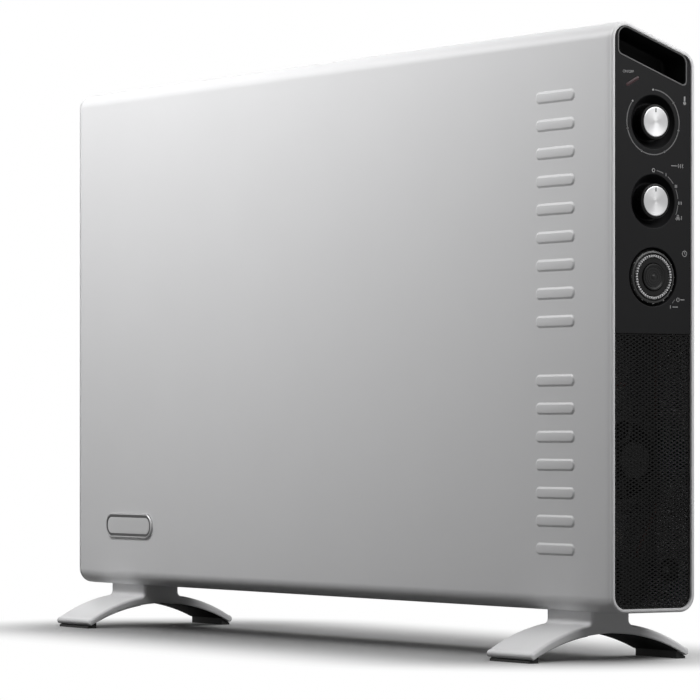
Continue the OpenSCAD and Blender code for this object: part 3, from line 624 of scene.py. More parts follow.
# How a dish's wall leans in as it falls, where it ends above the floor, and the fillet there.
DISH_LEAN = 0.9
DISH_CURVE = 1.25
DISH_WALL_END = 1.9
DISH_FILLET = ((-0.35, -0.6), (-1, -0.15), (-1.8, 0))
SHAFT_HOLE_R = 5
SHAFT_HOLE_DEEP = 1.5
WELL_DEEP = 6.9
WELL_HOLE_R = 6


def dish(shape, z):
    """A dished well with a rounded lip and a fillet at its floor."""
    lean = (DISH_R - DISH_FLOOR_R) * DISH_LEAN
    floor_x = PANEL_X - DISH_DEEP
    profile = grown(DISH_R, PANEL_X, edge_steps(DISH_EDGE, 5))
    for t in (0.25, 0.5, 0.75, 1):
        x = PANEL_X - DISH_EDGE - (DISH_DEEP - DISH_WALL_END) * t
        profile.append((DISH_R - lean * t ** DISH_CURVE, x))
    profile += grown(DISH_R - lean, floor_x, DISH_FILLET)
    profile += grown(SHAFT_HOLE_R, floor_x, ((0, 0), (0, SHAFT_HOLE_DEEP)))
    shape.lathe(profile, z, closed=False)


def plate(edges, holes=(), backed=False):
    """An upper end panel from its (outline, edge) rows, and more holes in its face."""
    shape = Shape().fill([*[outline(edge + FLAT) for outline, edge in edges], *holes], PANEL_X)
    if backed:
        shape.fill([outline(0) for outline, _ in edges], PANEL_X - PANEL_T)
    for outline, edge in edges:
        shape.loft(through(outline, edge))
    return shape


def end_panels():
    edges = [(panel_outline, PANEL_EDGE), (grip_outline, GRIP_EDGE)]
    holes = [circle(0, z, DISH_R + DISH_EDGE + FLAT, TURN_N) for z in (THERMOSTAT_Z, SELECTOR_Z)]
    holes.append(circle(0, TIMER_Z, WELL_R + WELL_EDGE + FLAT, TURN_N))
    shape = plate(edges + [(lamp_outline, LAMP_EDGE)], holes)
    dish(shape, THERMOSTAT_Z)
    dish(shape, SELECTOR_Z)
    well = grown(WELL_R, PANEL_X, edge_steps(WELL_EDGE) + [(0, WELL_DEEP)])
    shape.lathe(well + [(WELL_HOLE_R, PANEL_X - WELL_DEEP)], TIMER_Z, closed=False)
    piece("control_panel_face", shape, "panel_black", node="control_panel")
    piece("left_cover_face", plate(edges, backed=True), "panel_black", node="end_cover_left", mirror=True)


# The grip's lining, its floor as (grown, height above its back), and the bead round the opening, as
# (grown, height above the panel).
CUP_WALL = GRIP_WALL - 0.2
CUP_GAP = 0.02
CUP_MOUTH = (-0.2, 8)
CUP_FLOOR = ((-0.7, 5), (-1.0, 3.6), (-1.9, 2.2), (-3.4, 1.6))
HIGHLIGHT_LIP_SECTION = ((0.05, -1.0), (0.05, -0.1), (0.15, 0.15), (0.4, 0.3), (0.75, 0.3), (1.0, 0.15), (1.1, -0.1))


def grip_cups():
    face = PANEL_X - PANEL_T
    back = face - GRIP_DEEP
    steps = [(CUP_WALL, back), (CUP_WALL, face), (CUP_GAP, face), (CUP_MOUTH[0], PANEL_X - CUP_MOUTH[1])]
    steps += [(g, back + up) for g, up in CUP_FLOOR]
    shape = Shape().block([at_x(grip_outline(g), x) for g, x in steps])
    for end, mirror in ENDS:
        piece("grip_lining_" + end, shape, "cup_black", node="grip_cup_" + end, mirror=mirror)


# The bead's grey, far lighter than the panel's black, is a painted highlight along the opening's edge; its
# lit and shaded sides come from the lamps.
def grip_lips():
    shape = Shape().loft([at_x(grip_outline(g), PANEL_X + up) for g, up in HIGHLIGHT_LIP_SECTION])
    for end, mirror in ENDS:
        piece("grip_highlight_lip_" + end, shape, "highlight_lip_grey", mirror=mirror)


# Side panels: expanded metal in a narrow border. Its edges are (inset of the face, inset of the wall).
CELL_W = 5.6
CELL_H = 2.85
HOLE_SHARE = 0.64
STRAND_TILT = 0.15
HOLE_UP = 0.1
KNUCKLE = 0.3
WEAVE_DEPTHS = (0.35, 1.0)
WEAVE_IN = 0.6
WEAVE_SHARP = 20
MESH_GAP = 0.2
MESH_X = node_box("side_mesh_right")[1].x
MESH_TOP = node_box("side_mesh_right")[1].z
BORDER_EDGES = ((0.2, 0.1), (0.9, 1.0))
BORDER_DEPTHS = (0.2, 0.3, 1.2)


def mesh_outline(inset):
    low = RIM_W + MESH_GAP + inset
    return side_outline(PANEL_IN + inset, low, CORNER_R - PANEL_IN - inset, high=MESH_TOP - inset)


def diamond(y, z, share, side, top, bottom):
    """A share of a cell round its middle, given the x of its sides, top and bottom."""
    wide, tall = CELL_W / 2 * share, CELL_H / 2 * share
    return [(side, y + wide, z), (top, y, z + tall), (side, y - wide, z), (bottom, y, z - tall)]


def expanded_metal():
    """Diamond cells with diamond holes. The knuckles between cells stand a little proud."""
    front, back = [MESH_X - depth for depth in WEAVE_DEPTHS]
    columns = ceil(HALF_D / CELL_W) + 1
    rows = ceil(MESH_TOP / CELL_H) + 1
    shape = Shape()
    for j in range(2 * rows):
        for i in range(-columns, columns + 1):
            y, z = (i + (j % 2) / 2) * CELL_W, j * CELL_H / 2
            shape.loft([diamond(y, z, 1, front + KNUCKLE, front, front),
                        diamond(y, z, HOLE_SHARE, front + HOLE_UP, front - STRAND_TILT, front + STRAND_TILT),
                        diamond(y, z, HOLE_SHARE, back, back, back)])
    return shape


def clip(shape, loop):
    """Cuts a shape back to a convex, counter-clockwise loop of (y, z)."""
    mesh = bmesh.new()
    verts = [mesh.verts.new(v) for v in shape.verts]
    for face in shape.faces:
        mesh.faces.new([verts[i] for i in face])
    bmesh.ops.remove_doubles(mesh, verts=mesh.verts, dist=WELD)
    for i, (y, z) in enumerate(loop):
        ahead = loop[(i + 1) % len(loop)]
        along = Vector((0, ahead[0] - y, ahead[1] - z))
        if along.length > SHORT_EDGE:
            outward = Vector((0, along.z, -along.y))
            geometry = mesh.verts[:] + mesh.edges[:] + mesh.faces[:]
            bmesh.ops.bisect_plane(mesh, geom=geometry, plane_co=(0, y, z), plane_no=outward,
                                   clear_outer=True)
    mesh.verts.index_update()
    verts = [tuple(v.co) for v in mesh.verts]
    clipped = Shape().add(verts, [[v.index for v in f.verts] for f in mesh.faces])
    mesh.free()
    return clipped


def side_panels():
    weave = clip(expanded_metal(), mesh_outline(WEAVE_IN))
    faces = [mesh_outline(face) for face, _ in BORDER_EDGES]
    border = Shape().fill(faces, MESH_X - BORDER_DEPTHS[0])
    for face, wall in BORDER_EDGES:
        insets = (face, wall, wall)
        border.loft([at_x(mesh_outline(g), MESH_X - d) for g, d in zip(insets, BORDER_DEPTHS)])
    for end, mirror in ENDS:
        node = "side_mesh_" + end
        piece("side_weave_" + end, weave, "mesh_black", node=node, mirror=mirror, sharp=WEAVE_SHARP)
        piece("side_border_" + end, border, "cup_black", mirror=mirror)


# Badge: a blank plate with a dark line round its field, as (inset, height above the sheet).
BADGE_ROUND = 0.48
BADGE_LEAST_R = 0.5
BADGE_PLATE = ((0, 0), (0, 0.9), (0.15, 1.4), (0.45, 1.8), (0.85, 1.95), (1.15, 1.8), (1.3, 1.2),
               (3.4, 1.2), (3.5, 1.55), (3.9, 1.7), (6, 1.85))
BADGE_LINE = ((1.2, 1.25), (1.3, 1.4), (2.3, 1.45), (3.4, 1.4), (3.5, 1.25))


def badge_rings(steps):
    low, high = node_box("name_badge")
    middle, width, height = (low + high) / 2, high.x - low.x, high.z - low.z
    rings = []
    for inset, up in steps:
        a, b = width / 2 - inset, height / 2 - inset
        r = max(height * BADGE_ROUND - inset, BADGE_LEAST_R)
        outline = rounded([(-a, -b), (a, -b), (a, b), (-a, b)], [r] * 4, 12)
        rings.append([(middle.x + x, -HALF_D - up, middle.z + z) for x, z in outline])
    return rings


def badge():
    plate = Shape().loft(badge_rings(BADGE_PLATE), cap_last=True)
    piece("badge_plate", plate, "badge_metal", node="name_badge")
    piece("badge_line", Shape().loft(badge_rings(BADGE_LINE)), "badge_dark")


# Knobs and their caps. Steps are (radius grown, depth); a cap's face is (share of its radius, depth).
CAP_TOP = node_box("thermostat_cap")[1].x
KNOB_R = node_radius("thermostat_knob")
CAP_R = node_radius("thermostat_cap")
KNOB_CLEAR = 0.4
KNOB_FOOT = ((-0.4, 0), (0, -0.6))
KNOB_SHOULDER = ((0, 2.2), (0, 1.6), (-0.05, 1.3), (-0.3, 0.75), (-0.8, 0.4), (-1.4, 0.3))
KNOB_MOUTH = ((0.12, 0.35), (0.1, 1.6))
FLUTES = 60
FLUTE_DEEP = 0.012
FLUTED_ROWS = (1, 2, 3)
CAP_EDGE = ((0, 1.6), (0, 0.45), (-0.12, 0.15), (-0.4, 0), (-0.8, 0.02))
CAP_FACE = ((0.6, 0.12), (0.3, 0.16))
CAP_TIP = ((0.3, 0.17),)
MAP_R = 20
MAP_TURN = 7
POINTER_L = 3.2
POINTER_W = 0.8
POINTER_IN = 2.4
POINTER_DEPTHS = (0.2, 0.005)


def knob_flutes(angle, row):
    return 1 - FLUTE_DEEP * (0.5 - 0.5 * cos(FLUTES * angle)) ** 2 if row in FLUTED_ROWS else 1


def knob(name, z):
    profile = grown(KNOB_R, PANEL_X - DISH_DEEP + KNOB_CLEAR, KNOB_FOOT)
    profile += grown(KNOB_R, CAP_TOP, KNOB_SHOULDER) + grown(CAP_R, CAP_TOP, KNOB_MOUTH)
    shape = Shape().lathe(profile, z, KNOB_N, flutes=knob_flutes)
    piece(name + "_grip", shape, "knob_black", body=name, node=name + "_knob")


def turned_map(mesh, centre):
    """A map of a turned face: distance from its axis against the turn round it."""
    layer = mesh.uv_layers.new(name="turned")
    for face in mesh.polygons:
        first = None
        for loop, index in zip(face.loop_indices, face.vertices):
            away = mesh.vertices[index].co - centre
            a = atan2(away.z, away.y)
            first = a if first is None else first
            past = 2 * pi * (a < first - pi)
            layer.data[loop].uv = (hypot(away.y, away.z) / (MAP_R * MM), (a + past) / MAP_TURN)


def knob_cap(name, z):
    profile = grown(CAP_R, CAP_TOP, CAP_EDGE)
    profile += [(CAP_R * share, CAP_TOP - depth) for share, depth in CAP_FACE]
    shape = Shape().lathe(profile + grown(0, CAP_TOP, CAP_TIP), z)
    disc = piece(name + "_disc", shape, "cap_metal", body=name, node=name + "_cap")
    turned_map(disc.data, Vector(place(0, 0, z)))
    bar = bar_outline(POINTER_L, POINTER_W, 5)
    loop = [(across, z + CAP_R - POINTER_IN + up) for up, across in bar]
    pointer = Shape().block([at_x(loop, CAP_TOP - depth) for depth in POINTER_DEPTHS])
    piece(name + "_pointer", pointer, "knob_black", body=name)


# The timer: its dial, the ring of tappets in the dial's groove, and its centre knob.
DIAL_TOP = PANEL_X + 0.4
DIAL_R = node_radius("timer_dial")
DIAL_DEEP = 6.6
DIAL_BORE = 4
DIAL_BACK_IN = 2
TAPPET_R = node_radius("timer_tappets")
TAPPET_IN = TAPPET_R - 2.9
TAPPET_TOP = node_box("timer_tappets")[1].x
TAPPETS = 48
TOOTH_FOOT = 1.2
TOOTH_HALF = 0.66
TOOTH_GAPS = (0.25, 0.9)
TOOTH_TIP = ((0, 0.45), (0.12, 0.12), (0.35, 0))
CARRIER_T = 1.4
CARRIER_DEEP = 2.2
GROOVE_DEEP = 4
RIM_TOP_R = TAPPET_R + 0.8
RIM_DROP = 1.8
SHEEN_BAND_SECTION = ((-0.35, -0.02), (-0.1, -0.05), (0.3, 0.08), (1.0, 0.42), (1.0, 0.6))
MODE_R = node_radius("timer_mode_knob")
MODE_TOP = node_box("timer_mode_knob")[1].x
SEAT_DEEP = 2.4
HUB_DEEP = 1.9
HUB_EDGE = ((0, 0.7), (-0.15, 0.25), (-0.5, 0), (-0.9, 0), (-1.2, 0.3))
HUB_RINGS = (7.2, 5.4, 3.6)
HUB_RING = ((0.35, 0.75), (0.15, 0.5), (-0.1, 0.5), (-0.3, 0.75))
HUB_MIDDLE = ((2.0, 0.8), (1.5, 0.3), (1.0, 0.15), (0.3, 0.1))


def timer_dial():
    back = (DIAL_BORE, PANEL_X - DIAL_DEEP)
    profile = [back, (DIAL_R - DIAL_BACK_IN, PANEL_X - DIAL_DEEP)]
    profile += grown(DIAL_R, DIAL_TOP, ((0, 3.2), (0, 2.5), (-0.1, RIM_DROP + 0.4)))
    profile += grown(RIM_TOP_R, DIAL_TOP, ((0.15, 0.1), (-0.1, 0)))
    profile += grown(TAPPET_R, DIAL_TOP, ((0.35, 0), (0.3, GROOVE_DEEP)))
    profile += grown(TAPPET_IN, DIAL_TOP, ((-0.3, GROOVE_DEEP), (-0.35, 0)))
    profile += grown(MODE_R, DIAL_TOP, ((0.75, 0), (0.6, 0.15), (0.6, SEAT_DEEP)))
    profile += [(DIAL_BORE, DIAL_TOP - SEAT_DEEP), back]
    shape = Shape().lathe(profile, TIMER_Z, DIAL_N, closed=False)
    piece("timer_disc", shape, "dial_black", body="dial", node="timer_dial")
    # A band round the top of the dial's rim, lighter than the dial: a painted sheen, added to what the lamps
    # give.
    band = Shape().lathe(grown(RIM_TOP_R, DIAL_TOP, SHEEN_BAND_SECTION), TIMER_Z, DIAL_N, closed=False)
    piece("timer_sheen_band", band, "dial_sheen_edge", body="dial")


def timer_tappets():
    base = DIAL_TOP - CARRIER_DEEP
    top = base + CARRIER_T
    section = [(TAPPET_IN, base), (TAPPET_R, base), (TAPPET_R, top), (TAPPET_IN, top), (TAPPET_IN, base)]
    carrier = Shape().lathe(section, TIMER_Z, closed=False)
    piece("timer_tappet_carrier", carrier, "dial_black", body="tappets")
    steps = [(0, base + TOOTH_FOOT)] + [(inset, TAPPET_TOP - depth) for inset, depth in TOOTH_TIP]
    shape = Shape()
    for i in range(TAPPETS):
        a = 2 * pi * i / TAPPETS
        c, s = cos(a), sin(a)
        rings = []
        for inset, x in steps:
            low, high = TAPPET_IN + TOOTH_GAPS[0] + inset, TAPPET_R - TOOTH_GAPS[1] - inset
            half = TOOTH_HALF - inset
            corners = ((low, -half), (high, -half), (high, half), (low, half))
            rings.append([(x, r * c - t * s, TIMER_Z + r * s + t * c) for r, t in corners])
        shape.loft(rings, cap_last=True)
    piece("timer_tappet_ring", shape, "tappet_grey", body="tappets", node="timer_tappets")


def timer_hub():
    back = DIAL_TOP - HUB_DEEP
    profile = [(DIAL_BORE, back), (MODE_R, back)] + grown(MODE_R, MODE_TOP, HUB_EDGE)
    for r in HUB_RINGS:
        profile += grown(r, MODE_TOP, HUB_RING)
    shape = Shape().lathe(profile + grown(0, MODE_TOP, HUB_MIDDLE), TIMER_Z)
    piece("timer_hub", shape, "hub_black", body="mode_knob", node="timer_mode_knob")


# The lamp's lens, domed, as (grown, height above the panel).
LENS_STEPS = ((0, -3.4), (0, -0.15), (-0.1, 0), (-0.5, 0.09), (-1.2, 0.1))


def lens():
    shape = Shape().block([at_x(lamp_outline(g), PANEL_X + up) for g, up in LENS_STEPS])
    piece("lamp_window", shape, "lens_red", node="indicator_lens")


# Printed marks: thin strokes of paint, placed as (y, z) from the axis of their control.
# A clock is (y, z, radius, sides, width of its hands, their two ends).
PAINT_UP = 0.04
STROKE_W = 0.5
FINE_W = 0.4
RING_R = 23.4
RING_W = 0.75
DOTS = 7
DOT_STEP = 360 / DOTS
DOT_GAP = 3
HEAT_W = 1.3
HEAT_DOT = (28.4, 14.8)
HEAT_LINE = ((28.4, 15), (28.4, 19.6))
MODE_ARC_R = 22.4
MODE_ARCS = ((82, 66), (54, 36), (24, 6), (-6, -24))
OFF_R = 1.2
LEVELS = ((1, 11.6, 19.6), (2, 20.6, 11.4), (3, 24.2, -0.6))
BAR_PITCH = 1.3
BAR_HALF = 1.1
FAN_AT = (22.4, -11.4)
FAN_R = 1.3
FAN_LINE = ((25.6, -12.8), (25.6, -10.0))
WARM_LINE = ((16.3, 26.2), (21.3, 26.2))
WARM_AT = (22.7, 24.8)
WAVE = 0.35
WAVE_PITCH = 1.9
CLOCKS = ((28.3, 17.4, 2.0, 24, 0.4, (0, 1.3), (0.9, -0.4)),
          (22.4, -16, 1.3, 20, 0.35, (0, 0.8), (0.5, -0.2)))
TICK_LINE = ((17.2, -18.6), (19.6, -16))
TIMER_LINES = ((0.6, (24.6, -16), (28.2, -16)), (0.55, (15.6, -22.4), (15.6, -20.2)),
               (0.6, (17.4, -21.3), (22.4, -21.3)))


def stroke(shape, axis, points, width=STROKE_W, closed=False):
    """A thin raised ribbon along points, given from the height of an axis."""
    points = [(y, axis + z) for y, z in points]
    n = len(points)
    rings = []
    for i, (y, z) in enumerate(points):
        a = points[(i - 1) % n] if closed or i > 0 else (y, z)
        b = points[(i + 1) % n] if closed or i < n - 1 else (y, z)
        d = Vector((b[0] - a[0], b[1] - a[1])).normalized() * width / 2
        left, right = (y - d.y, z + d.x), (y + d.y, z - d.x)
        top = PANEL_X + PAINT_UP
        rings.append([(PANEL_X, *left), (top, *left), (top, *right), (PANEL_X, *right)])
    shape.loft(rings, path_closed=closed, cap_first=not closed, cap_last=not closed)


def dot(shape, y, z, r):
    ring = circle(y, z, r, 20)
    shape.loft([at_x(ring, PANEL_X), at_x(ring, PANEL_X + PAINT_UP)], cap_last=True)


def thermostat_marks(ring, light):
    end = 90 - (DOTS - 1) * DOT_STEP
    stroke(ring, THERMOSTAT_Z, arc(0, 0, RING_R, 90 - DOT_GAP, end + DOT_GAP, 120), RING_W)
    for k in range(DOTS):
        a = radians(90 - k * DOT_STEP)
        dot(light, RING_R * cos(a), THERMOSTAT_Z + RING_R * sin(a), RING_W)
    y, z = HEAT_DOT
    dot(light, y, THERMOSTAT_Z + z, HEAT_W)
    stroke(light, THERMOSTAT_Z, HEAT_LINE, HEAT_W)


def selector_marks(ring, light):
    for start, end in MODE_ARCS:
        stroke(ring, SELECTOR_Z, arc(0, 0, MODE_ARC_R, start, end, 8), 0.6)
    stroke(light, SELECTOR_Z, arc(0.4, MODE_ARC_R, OFF_R, 0, 345, 16), 0.45, closed=True)
    for level, y, z in LEVELS:
        for k in range(level):
            across = y + (k - (level - 1) / 2) * BAR_PITCH
            stroke(light, SELECTOR_Z, ((across, z - BAR_HALF), (across, z + BAR_HALF)))
    y, z = FAN_AT
    dot(light, y, SELECTOR_Z + z, 0.5)
    for k in range(3):
        a = radians(90 + 120 * k)
        blade = arc(y + FAN_R * cos(a), z + FAN_R * sin(a), 0.75, 0, 330, 12)
        stroke(light, SELECTOR_Z, blade, FINE_W, closed=True)
    stroke(light, SELECTOR_Z, FAN_LINE)
    stroke(light, SELECTOR_Z, WARM_LINE)
    y, z = WARM_AT
    for k in range(3):
        across = y + WAVE_PITCH * k
        wave = [(across + WAVE * sin(1.1 * i), z + WAVE * i) for i in range(9)]
        stroke(light, SELECTOR_Z, wave)


def timer_marks(ring, light):
    for y, z, r, n, width, long, short in CLOCKS:
        stroke(light, TIMER_Z, circle(y, z, r, n), FINE_W, closed=True)
        stroke(light, TIMER_Z, ((y + long[0], z + long[1]), (y, z), (y + short[0], z + short[1])), width)
    stroke(ring, TIMER_Z, TICK_LINE)
    for width, *points in TIMER_LINES:
        stroke(light, TIMER_Z, points, width)


def lettering(text, size):
    """Generic lettering as flat, centred (verts, faces)."""
    curve = bpy.data.curves.new("lettering", "FONT")
    curve.body = text
    curve.size = size
    curve.align_x = curve.align_y = "CENTER"
    curve.extrude = PAINT_UP / 2
    holder = in_scene("lettering", curve)
    mesh = shown_mesh(holder)
    bpy.data.objects.remove(holder)
    return [tuple(v.co) for v in mesh.vertices], [list(p.vertices) for p in mesh.polygons]


# The word over the lamp, from the lamp's middle, and the figures and ticks on the timer's dial.
WORD_SIZE = 2.7
WORD_AT = (-3.8, 6.8)
FIGURE_SIZE = 1.9
FIGURE_UP = 0.06
TICK = ((-0.12, -0.5, 0), (0.12, -0.5, 0), (0.12, 0.5, 0), (-0.12, 0.5, 0))


def marks():
    ring, light = Shape(), Shape()
    thermostat_marks(ring, light)
    selector_marks(ring, light)
    timer_marks(ring, light)
    verts, faces = lettering("ON/OFF", WORD_SIZE)
    across, up = WORD_AT
    light.add([(PANEL_X + z, LAMP_Y + across + x, LAMP_Z + up + y) for x, y, z in verts], faces)
    piece("printed_rings", ring, "print_grey")
    piece("printed_marks", light, "print_light")


def dial_numbers():
    """Hours on the dial's sloping rim, and ticks between them."""
    slope = atan2(RIM_DROP, DIAL_R - RIM_TOP_R)
    shape = Shape()
    for hour in range(24):
        a = radians(90 - 15 * hour)
        c, s = cos(a), sin(a)
        verts, faces = (TICK, [[0, 1, 2, 3]]) if hour % 2 else lettering(str(hour or 24), FIGURE_SIZE)
        moved = []
        for x, y, z in verts:
            along = (RIM_TOP_R + DIAL_R) / 2 + y * cos(slope)
            out = DIAL_TOP - RIM_DROP / 2 + y * sin(slope) + z + FIGURE_UP
            moved.append((out, along * c + x * s, TIMER_Z + along * s - x * c))
        shape.add(moved, faces)
    piece("timer_numbers", shape, "dial_print", body="dial")


# Feet: an arch with a stem, its edges rounded. Heights are above the floor.
FOOT_X = node_middle("foot_right").x
FOOT_W = node_box("foot_right")[1].x - node_box("foot_right")[0].x
FOOT_HALF = (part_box("foot_right")[1].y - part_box("foot_right")[0].y) / 2 / MM
FOOT_Y = -MIDDLE.y / MM
ARCH_TOP = 27.5
ARCH_T = 7.3
TOE_T = 5.5
TOE_GAP = 0.8
TOE_LONG = 0.35
STEM_L = 34.0
STEM_FILLET = 4.0
FOOT_ROUND = 2.5
FOOT_LOW_ROUND = 0.7
SCREW_X = 18
SCREW_HOLE_R = 5.5
SCREW_HOLE_ENDS = (-5, FLOOR_GAP - 10)
LOW_DROP = ARCH_TOP - ARCH_T - TOE_GAP
UP_DROP = ARCH_TOP - TOE_GAP - TOE_T
LOW_R = (FOOT_HALF ** 2 + LOW_DROP ** 2) / (2 * LOW_DROP)
UP_R = (FOOT_HALF ** 2 + UP_DROP ** 2) / (2 * UP_DROP)

# A near-black sheet under a foot's arms, painted shade for the dark under the arch: drawn in from its sides,
# from the screws to the pads.
SHADE_SHEET_IN = 1.5
SHADE_SHEET_START = 20
SHADE_SHEET_END = FOOT_HALF - 9.9
SHADE_SHEET_N = 12
SHADE_SHEET_DEPTHS = (0.45, 0.05)


def foot_low(y, h=0):
    """Height of the arch's underside, drawn in by h."""
    return ARCH_TOP - ARCH_T - LOW_R + sqrt((LOW_R + h) ** 2 - y * y)


def foot_section(g, h):
    """The foot's side outline as (y, height): drawn in by g above and by h below."""
    def up(y):
        return ARCH_TOP - UP_R + sqrt((UP_R - g) ** 2 - y * y)

    nose = TOE_T / 2 - g + TOE_LONG
    tip = FOOT_HALF - g - nose
    top, low = up(tip), foot_low(tip, h)
    half = [(tip + nose * cos(a), (top + low) / 2 + (top - low) / 2 * sin(a))
            for a in turns(-90, 90, 10)[1:-1]]
    w = STEM_L / 2 - g
    f = STEM_FILLET + g
    half += [(y, up(y)) for y in [tip + (w + f - tip) * k / 20 for k in range(20)]]
    half += arc(w + f, up(w + f) + f, f, 270, 180, 6) + [(w, FLOOR_GAP)]
    under = [-tip + 2 * tip * k / 40 for k in range(41)]
    return [(y, foot_low(y, h)) for y in under] + half + [(-y, z) for y, z in reversed(half)]


def drawn_in(r, depth):
    """How far a rounded edge is drawn in at a depth below the face."""
    return r - sqrt(r * r - (r - depth) ** 2) if depth < r else 0


def at_foot(loop, x):
    return [(x, FOOT_Y + y, z - FLOOR_GAP) for y, z in loop]


def foot(name, x):
    halves = [(drawn_in(FOOT_ROUND, depth), drawn_in(FOOT_LOW_ROUND, depth), depth - FOOT_W / 2)
              for _, depth in round_edge(FOOT_ROUND, 8)]
    steps = halves + [(g, h, -across) for g, h, across in reversed(halves)]
    shape = Shape().block([at_foot(foot_section(g, h), x + across) for g, h, across in steps])
    made = piece(name + "_arch", shape, "foot_paint", node=name)
    holes = Shape()
    for side in (-1, 1):
        ring = circle(x + side * SCREW_X, FOOT_Y, SCREW_HOLE_R, HOLE_N)
        holes.block([[(a, b, z - FLOOR_GAP) for a, b in ring] for z in SCREW_HOLE_ENDS])
    cut(made, holes)


# Near-black sheets of painted shade under the front and rear arm of a foot.
def foot_liner(name, x):
    for end, side in (("front", -1), ("rear", 1)):
        ys = [SHADE_SHEET_START + (SHADE_SHEET_END - SHADE_SHEET_START) * k / SHADE_SHEET_N for k in range(SHADE_SHEET_N + 1)]
        low, high = [[(side * y, foot_low(y) - depth) for y in ys] for depth in SHADE_SHEET_DEPTHS]
        inner = FOOT_W / 2 - SHADE_SHEET_IN
        shape = Shape().block([at_foot(low + high[::-1], x + across) for across in (-inner, inner)])
        piece("%s_lining_%s" % (name, end), shape, "painted_shade_black")


def build():
    for make in (front_sheet, rear_sheet, rims, end_panels, grip_cups, grip_lips, side_panels, badge):
        make()
    for name, z in (("thermostat", THERMOSTAT_Z), ("selector", SELECTOR_Z)):
        knob(name, z)
        knob_cap(name, z)
    for make in (timer_dial, timer_tappets, timer_hub, lens, marks, dial_numbers):
        make()
    for name, x in (("foot_right", FOOT_X), ("foot_left", -FOOT_X)):
        foot(name, x)
        foot_liner(name, x)


# CAD nodes that stay.
STAYING = (
    # Painted shade: the steel parts inside are far darker than bare steel, for the shade inside the casing.
    ("control_bracket bulkhead_right bulkhead_left heat_shield_front heat_shield_rear foot_brackets "
     "thermal_cutout", "inner_steel", grey(0.16), 0.38, 260, 0.004, 0.12, 0.5, 0.9, 0.12),
    ("foot_pads_right foot_pads_left", "pad_rubber", black(0.014), 0.75, 1600, 0.03),
    ("cord_inlet_bush", "bush_black", black(0.02), 0.5, 1600, 0.02),
    ("control_screws foot_screws rear_screws", "screw_steel", grey(0.55), 0.3, 1400, 0.004, 0.03, 0.5, 1),
    ("thermostat_shaft selector_shaft timer_mode_shaft fan_shaft", "shaft_steel", grey(0.5), 0.28, 1400,
     0.003, 0.03, 0.5, 1),
    ("thermostat_body selector_switch timer_movement", "switch_ivory", (0.3, 0.27, 0.21), 0.5, 1200, 0.01),
    # Painted shade: the bulb is darkened so that it shows no glints through the mesh.
    ("thermostat_bulb", "bulb_steel", (0.085, 0.08, 0.075), 0.5, 900, 0.004, 0.03, 0.5, 0.9),
    ("fan_motor terminal_block", "motor_black", black(0.012), 0.6, 1500, 0.01),
    ("lower_tube upper_tube", "tube_steel", (0.1, 0.093, 0.088), 0.5, 500, 0.01, 0.2, 0.5, 0.8),
    ("lower_fins upper_fins", "fin_metal", grey(0.55), 0.4, 700, 0.006, 0.1, 0.5, 0.9),
    ("element_insulators", "insulator_ceramic", (0.34, 0.33, 0.31), 0.5, 1500, 0.015),
    ("fan_frame fan_impeller", "fan_black", black(0.02), 0.45, 1800, 0.01),
    ("wiring_loom", "wire_red", (0.034, 0.005, 0.004), 0.5, 1500, 0.01),
    ("indicator_lamp", "lamp_glass", (0.55, 0.2, 0.08), 0.15, 600, 0.003),
)


def dress(names, material):
    for name in names.split():
        mesh = frame["nodes"][name].data
        mesh.materials.clear()
        mesh.materials.append(material)


# Camera, as solved from the photo's perspective.
CAMERA_AT = (2.7918, -1.7893, 0.16357)
CAMERA_TURN = radians(57.33)
IMAGE = 700
FOCAL_PX = 4157.5
HORIZON_PX = 436
SENSOR = 36
CLIP = (0.05, 200)


def camera():
    data = bpy.data.cameras.new("camera")
    data.sensor_width = SENSOR
    data.lens = FOCAL_PX / IMAGE * SENSOR
    data.shift_y = (HORIZON_PX - IMAGE / 2) / IMAGE
    data.clip_start, data.clip_end = CLIP
    obj = in_scene("camera", data)
    obj.location = CAMERA_AT
    obj.rotation_euler = (pi / 2, 0, CAMERA_TURN)
    scene.camera = obj


def direct_rays(tree):
    """1 for camera, glossy and transmission rays, else 0."""
    ray = add_node(tree, "LightPath").outputs
    either = add_node(tree, "Math", ray["Is Camera Ray"], ray["Is Glossy Ray"], operation="MAXIMUM")
    direct = add_node(tree, "Math", either.outputs["Value"], ray["Is Transmission Ray"], operation="MAXIMUM")
    return direct.outputs["Value"]


# The floor in metres, how pale it looks and how much light it sends back. It fades to white over a range
# of distances from a line that stops short of the casing's ends; nearer, it stays dimly lit, a painted
# shadow band.
FLOOR_SIZE = 60
FLOOR_SEEN = 0.92
FLOOR_BOUNCE = 0.32
FADE = (0.06, 0.24)
FADE_SHORT = 0.13
SKY_LIGHT = 0.02


def away_from_middle(tree, reach):
    """Distance on the floor from a line along x that reaches this far each way."""
    where = add_node(tree, "TexCoord").outputs["Object"]
    middle = add_node(tree, "VectorMath", where, operation="MINIMUM")
    middle.inputs[1].default_value = (reach, 0, 0)
    nearest = add_node(tree, "VectorMath", middle.outputs["Vector"], operation="MAXIMUM")
    nearest.inputs[1].default_value = (-reach, 0, 0)
    away = add_node(tree, "VectorMath", where, nearest.outputs["Vector"], operation="DISTANCE")
    return away.outputs["Value"]


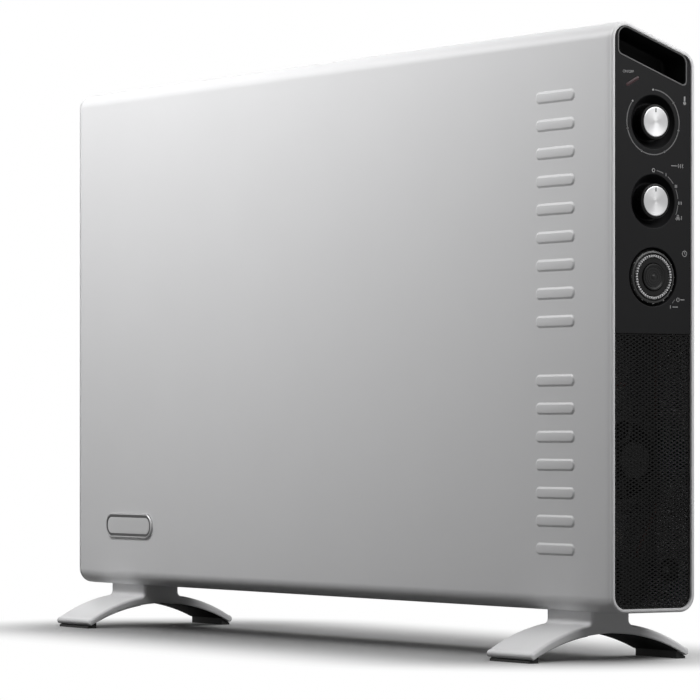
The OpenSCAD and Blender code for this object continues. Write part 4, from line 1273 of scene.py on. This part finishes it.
def floor():
    """A pale floor, dimly lit near the object and white away from it: a painted shadow band over the lamps'
    shadow.
    """
    bpy.ops.mesh.primitive_plane_add(size=FLOOR_SIZE, location=(0, 0, 0))
    plane = bpy.context.active_object
    plane.name = "floor"
    material = bpy.data.materials.new("floor")
    material.use_nodes = True
    tree = material.node_tree
    shader = tree.nodes["Principled BSDF"]
    shader.inputs["Roughness"].default_value = 0.6
    shader.inputs["Specular IOR Level"].default_value = 0.02
    seen = direct_rays(tree)
    paleness = add_node(tree, "MapRange", seen, To_Min=FLOOR_BOUNCE, To_Max=FLOOR_SEEN)
    tree.links.new(paleness.outputs["Result"], shader.inputs["Base Color"])
    away = away_from_middle(tree, HALF_W * MM - FADE_SHORT)
    # Painted shadow: the floor stays dim near the object and turns white only further off.
    fade = add_node(tree, "MapRange", away, From_Min=FADE[0], From_Max=FADE[1])
    fade.interpolation_type = "SMOOTHSTEP"
    far = add_node(tree, "Math", fade.outputs["Result"], seen, operation="MULTIPLY").outputs["Value"]
    white = add_node(tree, "Emission", Strength=1).outputs["Emission"]
    mix = add_node(tree, "MixShader", far, shader.outputs["BSDF"], white)
    tree.links.new(mix.outputs["Shader"], tree.nodes["Material Output"].inputs["Surface"])
    plane.data.materials.append(material)


def world():
    """Plain soft light, and a white background for what the camera, gloss and glass see."""
    made = bpy.data.worlds.new("world")
    scene.world = made
    made.use_nodes = True
    tree = made.node_tree
    background = tree.nodes["Background"]
    background.inputs["Color"].default_value = (1, 1, 1, 1)
    strength = add_node(tree, "MapRange", direct_rays(tree), To_Min=SKY_LIGHT, To_Max=1)
    tree.links.new(strength.outputs["Result"], background.inputs["Strength"])


# Lamps as (name, place, aim, size, watts): those that leave the floor out, and those for it alone.
LAMPS = (
    ("back", (0.5, 0.75, 1.5), (0.45, 0, 0.2), (1.2, 0.8), 5),
    ("front_bar", (-0.09, -0.6, 0.88), (-0.08, 0, 0.34), (0.9, 0.2), 6),
    ("left", (-0.5, -0.5, 0.8), (-0.36, 0, 0.4), (0.4, 0.4), 2.7),
    ("right_far", (1.35, 0.15, 1.15), (0.39, 0, 0.3), (0.7, 0.7), 7.8),
    ("right_near", (0.85, -0.05, 0.85), (0.39, 0, 0.35), (0.4, 0.4), 0.8),
    ("right_rear", (0.92, 0.48, 0.72), (0.39, 0, 0.36), (0.3, 0.3), 2.3),
)
FLOOR_LAMPS = (
    ("floor_back", (0, 0.6, 2), (0, 0, 0), (2.2, 1.2), 8.5),
    ("floor_right", (1.5, -0.3, 1), (0.39, 0, 0), (0.8, 0.8), 7),
)


def light():
    """Rectangular lamps, each group with a collection that says what it lights."""
    for state, rows in (("EXCLUDE", LAMPS), ("INCLUDE", FLOOR_LAMPS)):
        lit = bpy.data.collections.new("floor_" + state.lower())
        lit.objects.link(bpy.data.objects["floor"])
        lit.collection_objects[0].light_linking.link_state = state
        for name, at, aim, size, power in rows:
            data = bpy.data.lights.new(name, "AREA")
            data.shape = "RECTANGLE"
            data.size, data.size_y = size
            data.energy = power
            obj = in_scene(name, data)
            obj.location = at
            obj.rotation_euler = (Vector(aim) - Vector(at)).to_track_quat("-Z", "Y").to_euler()
            obj.light_linking.receiver_collection = lit


scene.view_settings.view_transform = "Standard"
camera()
build()
dress("top_grille base_grille", LOOKS["grille_black"])
for names, *row in STAYING:
    dress(names, finish(*row))
floor()
world()
light()
